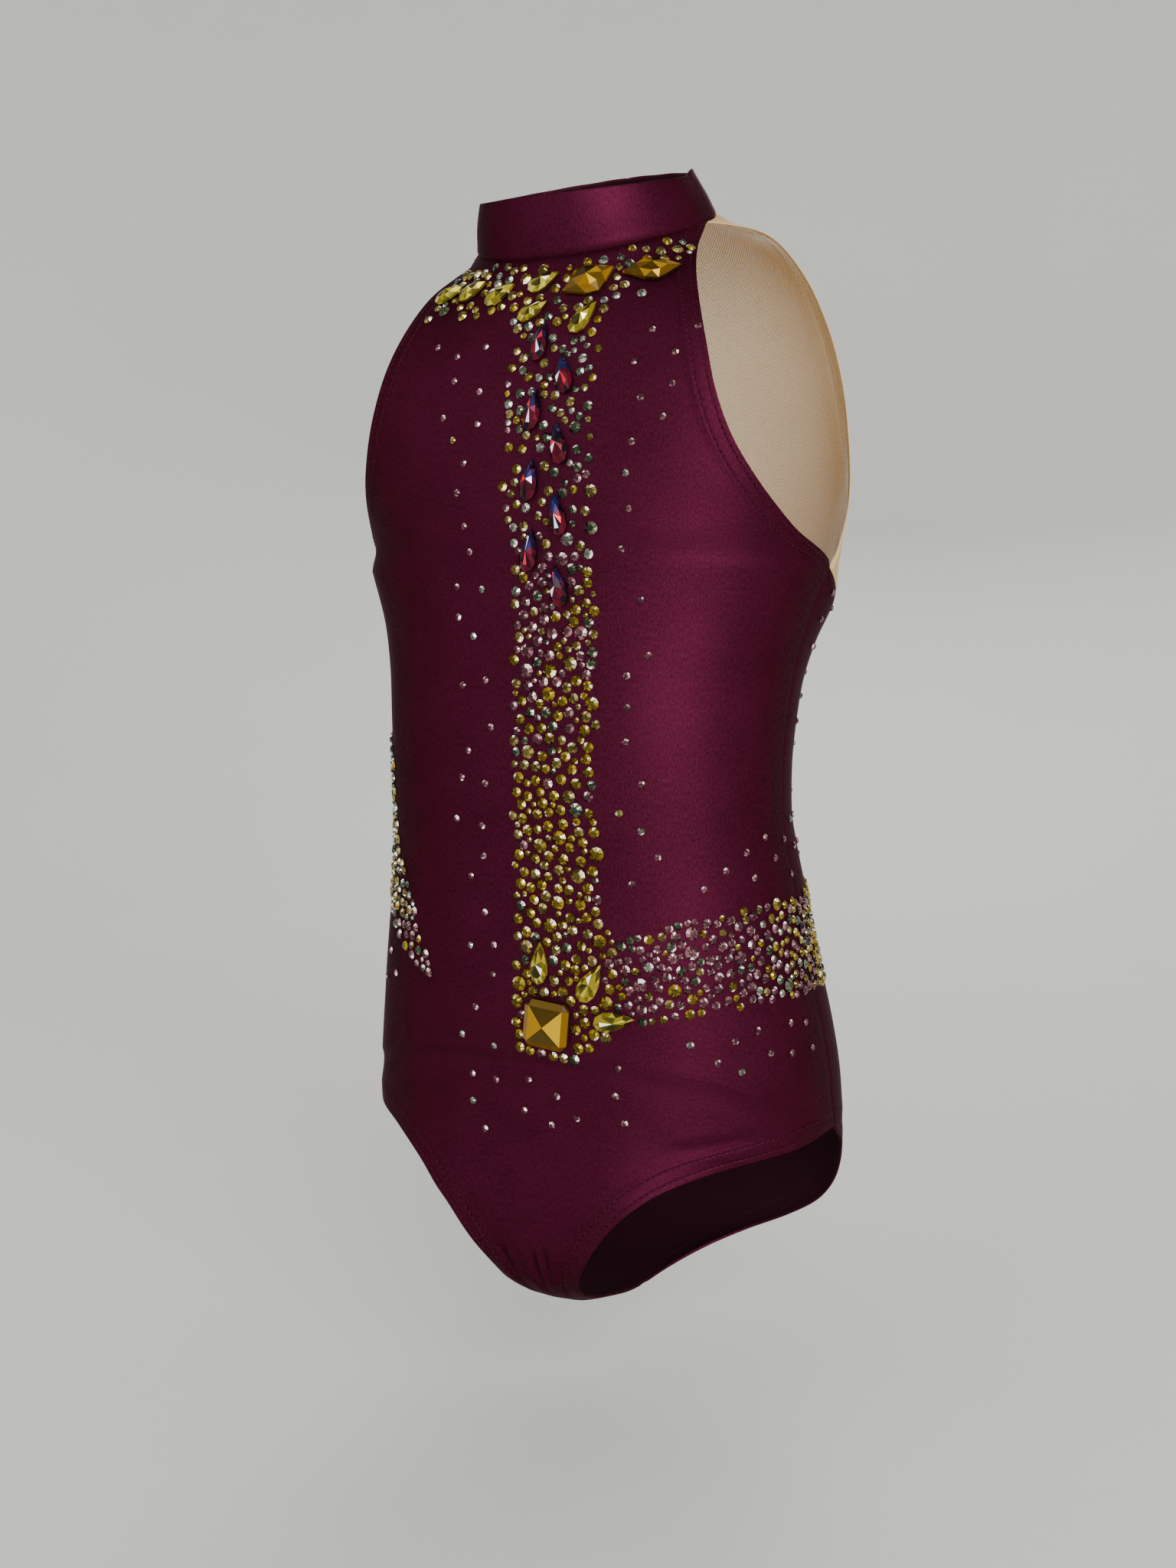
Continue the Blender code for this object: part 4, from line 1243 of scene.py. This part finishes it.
def palette_ramp(tree, place, palette):
    """The colour at a place of a palette."""
    ramp = add_node(tree, "ShaderNodeValToRGB", {0: place})
    stops = ramp.color_ramp.elements
    while len(stops) < len(palette):
        stops.new(0.5)
    for stop, (where, colour) in zip(stops, palette):
        stop.position = where
        stop.color = (*colour, 1.0)
    return ramp.outputs[0]


def crystal_finish(name, palette):
    """Cut glass over foil: each facet is painted a colour of the palette, dark to bright, as painted
    reflections, and the brightest glow as painted glints.
    """
    material, tree, shader = new_finish(name, palette[len(palette) // 2][1], Metallic=0.7, Roughness=0.18,
                                        Specular_IOR_Level=0.3, Coat_Weight=0.15, Coat_Roughness=0.03,
                                        Emission_Strength=GLINT_GLOW_STRENGTH)
    facet = attribute(tree, "facet")
    grain = noise_node(tree, object_place(tree), 260.0, 1.0)
    mixed = math_node(tree, "MULTIPLY_ADD", grain, 0.08, math_node(tree, "SUBTRACT", facet, 0.04))
    tree.links.new(palette_ramp(tree, mixed, palette), shader.inputs["Base Color"])
    # Painted glints: the brightest facets glow through the emission
    tree.links.new(palette_ramp(tree, facet, GLOWING_GLINTS), shader.inputs["Emission Color"])
    return material


def stone_finishes(kind, palettes):
    return {colour: crystal_finish(f"{colour} {kind}", palette) for colour, palette in palettes.items()}


def thread_finish(name, colour):
    material, tree, shader = new_finish(name, colour, Roughness=0.6, Specular_IOR_Level=0.25)
    twist = noise_node(tree, object_place(tree), 2600.0, 1.0)
    shade = math_node(tree, "MULTIPLY_ADD", twist, 0.5, 0.75)
    tree.links.new(tint(tree, colour, shade), shader.inputs["Base Color"])
    return material


def steel_finish():
    material, tree, shader = new_finish("hook steel", (0.55, 0.55, 0.56), Metallic=1.0)
    worn = noise_node(tree, object_place(tree), 900.0, 3.0)
    tree.links.new(math_node(tree, "MULTIPLY_ADD", worn, 0.25, 0.18), shader.inputs["Roughness"])
    add_bump(tree, shader, worn, 0.2, 0.05)
    return material


def plain_finish(name, colour, roughness):
    material, tree, shader = new_finish(name, colour, Roughness=roughness)
    mottle = noise_node(tree, object_place(tree), 3.0, 3.0)
    shade = math_node(tree, "MULTIPLY_ADD", mottle, 0.04, 0.98)
    tree.links.new(tint(tree, colour, shade), shader.inputs["Base Color"])
    return material


def panel_rows(table):
    """A panel's sections, and which of them are the first and the last on the side seam."""
    rows = rows_between(table, DOWN_FACES + 1)
    on_seam = [number for number, row in enumerate(rows) if on_side_seam(row)]
    return rows, on_seam[0], on_seam[-1]


def sides_of(grid, start, end=None):
    """A grid's right and left edge between two of its rows."""
    return [grid[start:end, 0], grid[start:end, -1]]


def make_garment(finishes):
    """The cloth pieces. Returns the trees and edges that the sewing and the stones are laid on."""
    rows, arm, foot = panel_rows(front_rows())
    grid = panel_grid(rows, -1)
    arm_edges = sides_of(grid, 0, arm + 1)
    leg_edges = sides_of(grid, foot)
    seams = sides_of(grid, arm, foot + 1) + [grid[0], grid[-1]]
    front, hem = dress_grid(grid, arm_edges + leg_edges, seams, FRONT_CREASES)
    lap_seams(front, arm, foot)
    front_cloth = add_cloth("front_shell", front, hem, CLOTH_WALL, finishes["cloth"])
    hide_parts("front_panel")
    front_tree = surface_tree(front, False)
    hems = [(edge, front_tree) for edge in arm_edges + leg_edges]

    rows, top, foot = panel_rows(back_rows())
    grid = panel_grid(rows[top:], -1)
    leg_edges = sides_of(grid, foot - top)
    seams = sides_of(grid, 0, foot - top + 1) + [grid[0], grid[-1]]
    back, hem = dress_grid(grid, leg_edges, seams, BACK_CREASES, faces_back=True)
    lap_seams(back, 0, foot - top)
    back_cloth = add_cloth("back_shell", back, hem, CLOTH_WALL, finishes["cloth"], flip=True)
    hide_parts("back_panel")
    back_tree = surface_tree(back, True)
    hems += [(edge, back_tree) for edge in leg_edges]

    grid = panel_grid(rows[:top + 1], 0)
    yoke, hem = dress_grid(grid, [grid[:, -1], grid[:, 0]], [grid[0], grid[-1]], swell=NET_SWELL,
                           faces_back=True)
    net_edges = []
    for side, way in (("left", 1), ("right", -1)):
        half = yoke * np.array([way, 1.0, 1.0])
        cloth = add_cloth(f"yoke_{side}_net", half, hem, NET_WALL, finishes["net"], flip=way > 0)
        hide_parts(f"back_yoke_{side}")
        tree = surface_tree(half, way > 0)
        net_edges += [(half[:, -1], tree), (half[:, 0], tree)]

    ring = collar_grid()
    far = np.full(ring.shape[:2], FAR_FROM_HEM)
    collar = add_cloth("collar_shell", ring, far, COLLAR_WALL, finishes["cloth"])
    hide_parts("collar")
    return front_tree, back_tree, hems, net_edges


def sew(hems, net_edges, finishes):
    """The rows of stitches on the hems and the zigzag along the net."""
    bm = bmesh.new()
    for edge, tree in hems:
        for distance in (HEM_STITCH, EDGE_STITCH):
            stitch_row(bm, edge, tree, distance)
    stitches = add_piece("hem_stitches", bm, finishes["thread"])
    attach(stitches, "root")
    bm = bmesh.new()
    for edge, tree in net_edges:
        zigzag_row(bm, edge, tree)
    zigzag = add_piece("net_zigzag", bm, finishes["net thread"])
    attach(zigzag, "root")


def make_stage():
    """A pale floor that curves up into a wall, all the way round."""
    bm = bmesh.new()
    profile = [(0.0, FLOOR_Z)]
    for step in range(STAGE_BEND_STEPS + 1):
        angle = math.radians(90) * step / STAGE_BEND_STEPS
        profile.append((STAGE_RADIUS - STAGE_BEND + STAGE_BEND * math.sin(angle),
                        FLOOR_Z + STAGE_BEND - STAGE_BEND * math.cos(angle)))
    profile.append((STAGE_RADIUS, FLOOR_Z + STAGE_HEIGHT))
    verts = [bm.verts.new((reach, 0.0, height)) for reach, height in profile]
    edges = [bm.edges.new(pair) for pair in zip(verts, verts[1:])]
    bmesh.ops.spin(bm, geom=verts + edges, cent=(0, 0, 0), axis=(0, 0, 1), angle=math.tau,
                   steps=STAGE_SIDES, use_merge=True)
    bmesh.ops.remove_doubles(bm, verts=bm.verts, dist=0.001)
    bmesh.ops.recalc_face_normals(bm, faces=bm.faces)
    bmesh.ops.reverse_faces(bm, faces=bm.faces)
    stage = add_piece("stage", bm, plain_finish("pale stage", STAGE_COLOUR, 0.9))
    stage.data.shade_smooth()


def add_light(name, place, size, power):
    """A soft lamp that faces the middle of the leotard."""
    data = bpy.data.lights.new(name, "AREA")
    data.shape = "RECTANGLE"
    data.size, data.size_y = size
    data.energy = power
    light = bpy.data.objects.new(name, data)
    light.location = place
    light.rotation_euler = (Vector(LIGHT_TARGET) - Vector(place)).to_track_quat("-Z", "Y").to_euler()
    bpy.context.scene.collection.objects.link(light)


def make_studio():
    add_light("window light", WINDOW_PLACE, WINDOW_SIZE, WINDOW_POWER)
    add_light("room light", ROOM_PLACE, ROOM_SIZE, ROOM_POWER)
    add_light("back light", BACK_PLACE, ROOM_SIZE, BACK_POWER)
    world = bpy.data.worlds.new("room")
    world.use_nodes = True
    world.node_tree.nodes["Background"].inputs["Color"].default_value = (*ROOM_COLOUR, 1.0)
    world.node_tree.nodes["Background"].inputs["Strength"].default_value = ROOM_STRENGTH
    bpy.context.scene.world = world


def make_camera():
    data = bpy.data.cameras.new("camera")
    data.lens = CAMERA_LENS
    data.shift_x, data.shift_y = CAMERA_SHIFT
    camera = bpy.data.objects.new("camera", data)
    camera.location = CAMERA_PLACE
    camera.rotation_euler = (math.radians(90), 0.0, math.radians(CAMERA_TURN))
    bpy.context.scene.collection.objects.link(camera)
    bpy.context.scene.camera = camera


def main():
    knit, stitch_line = knit_group(), stitch_line_group()
    outer = cloth_finish("burgundy stretch cloth", CLOTH_COLOUR, knit, stitch_line, 1.0, 0.10,
                         Metallic=CLOTH_METALLIC, Roughness=CLOTH_ROUGHNESS, Specular_IOR_Level=0.1,
                         Specular_Tint=(*CLOTH_EDGE_TINT, 1.0))
    inner = cloth_finish("burgundy cloth inside", CLOTH_INSIDE, knit, stitch_line, 0.4, 0.08,
                         Metallic=0.0, Roughness=0.85, Specular_IOR_Level=0.15)
    net = net_finish(knit)
    finishes = {"cloth": (outer, inner), "net": (net, net),
                "thread": thread_finish("burgundy thread", THREAD_COLOUR),
                "net thread": thread_finish("tan thread", NET_THREAD_COLOUR)}
    crystal_looks = stone_finishes("crystal", CRYSTAL_PALETTES)
    bead_looks = stone_finishes("stone", BEAD_PALETTES)

    front_tree, back_tree, hems, net_edges = make_garment(finishes)
    sew(hems, net_edges, finishes)
    hook_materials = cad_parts["collar_hook"].data.materials
    hook_materials.clear()
    hook_materials.append(steel_finish())

    big_stones = COLLAR_STONES + chest_stones() + HIP_STONES
    crystals = [(stone, stone_place(stone, front_tree)) for stone in big_stones]
    for number, (stone, place) in enumerate(crystals):
        make_crystal(stone, place, crystal_looks[stone.colour], FACET_SEED + number)
    draw = random.Random(BEAD_SEED)
    field = StoneField(front_tree, back_tree, crystals, draw)
    lay_small_stones(field)
    shape = flat_back_shape()
    for sort in SORTS:
        beads = [bead for bead in field.beads if bead.sort == sort]
        add_flat_backs(sort, beads, shape, bead_looks[sort], draw)
    print("small stones:", len(field.beads))
    bpy.data.meshes.remove(shape)

    make_stage()
    make_studio()
    make_camera()


main()
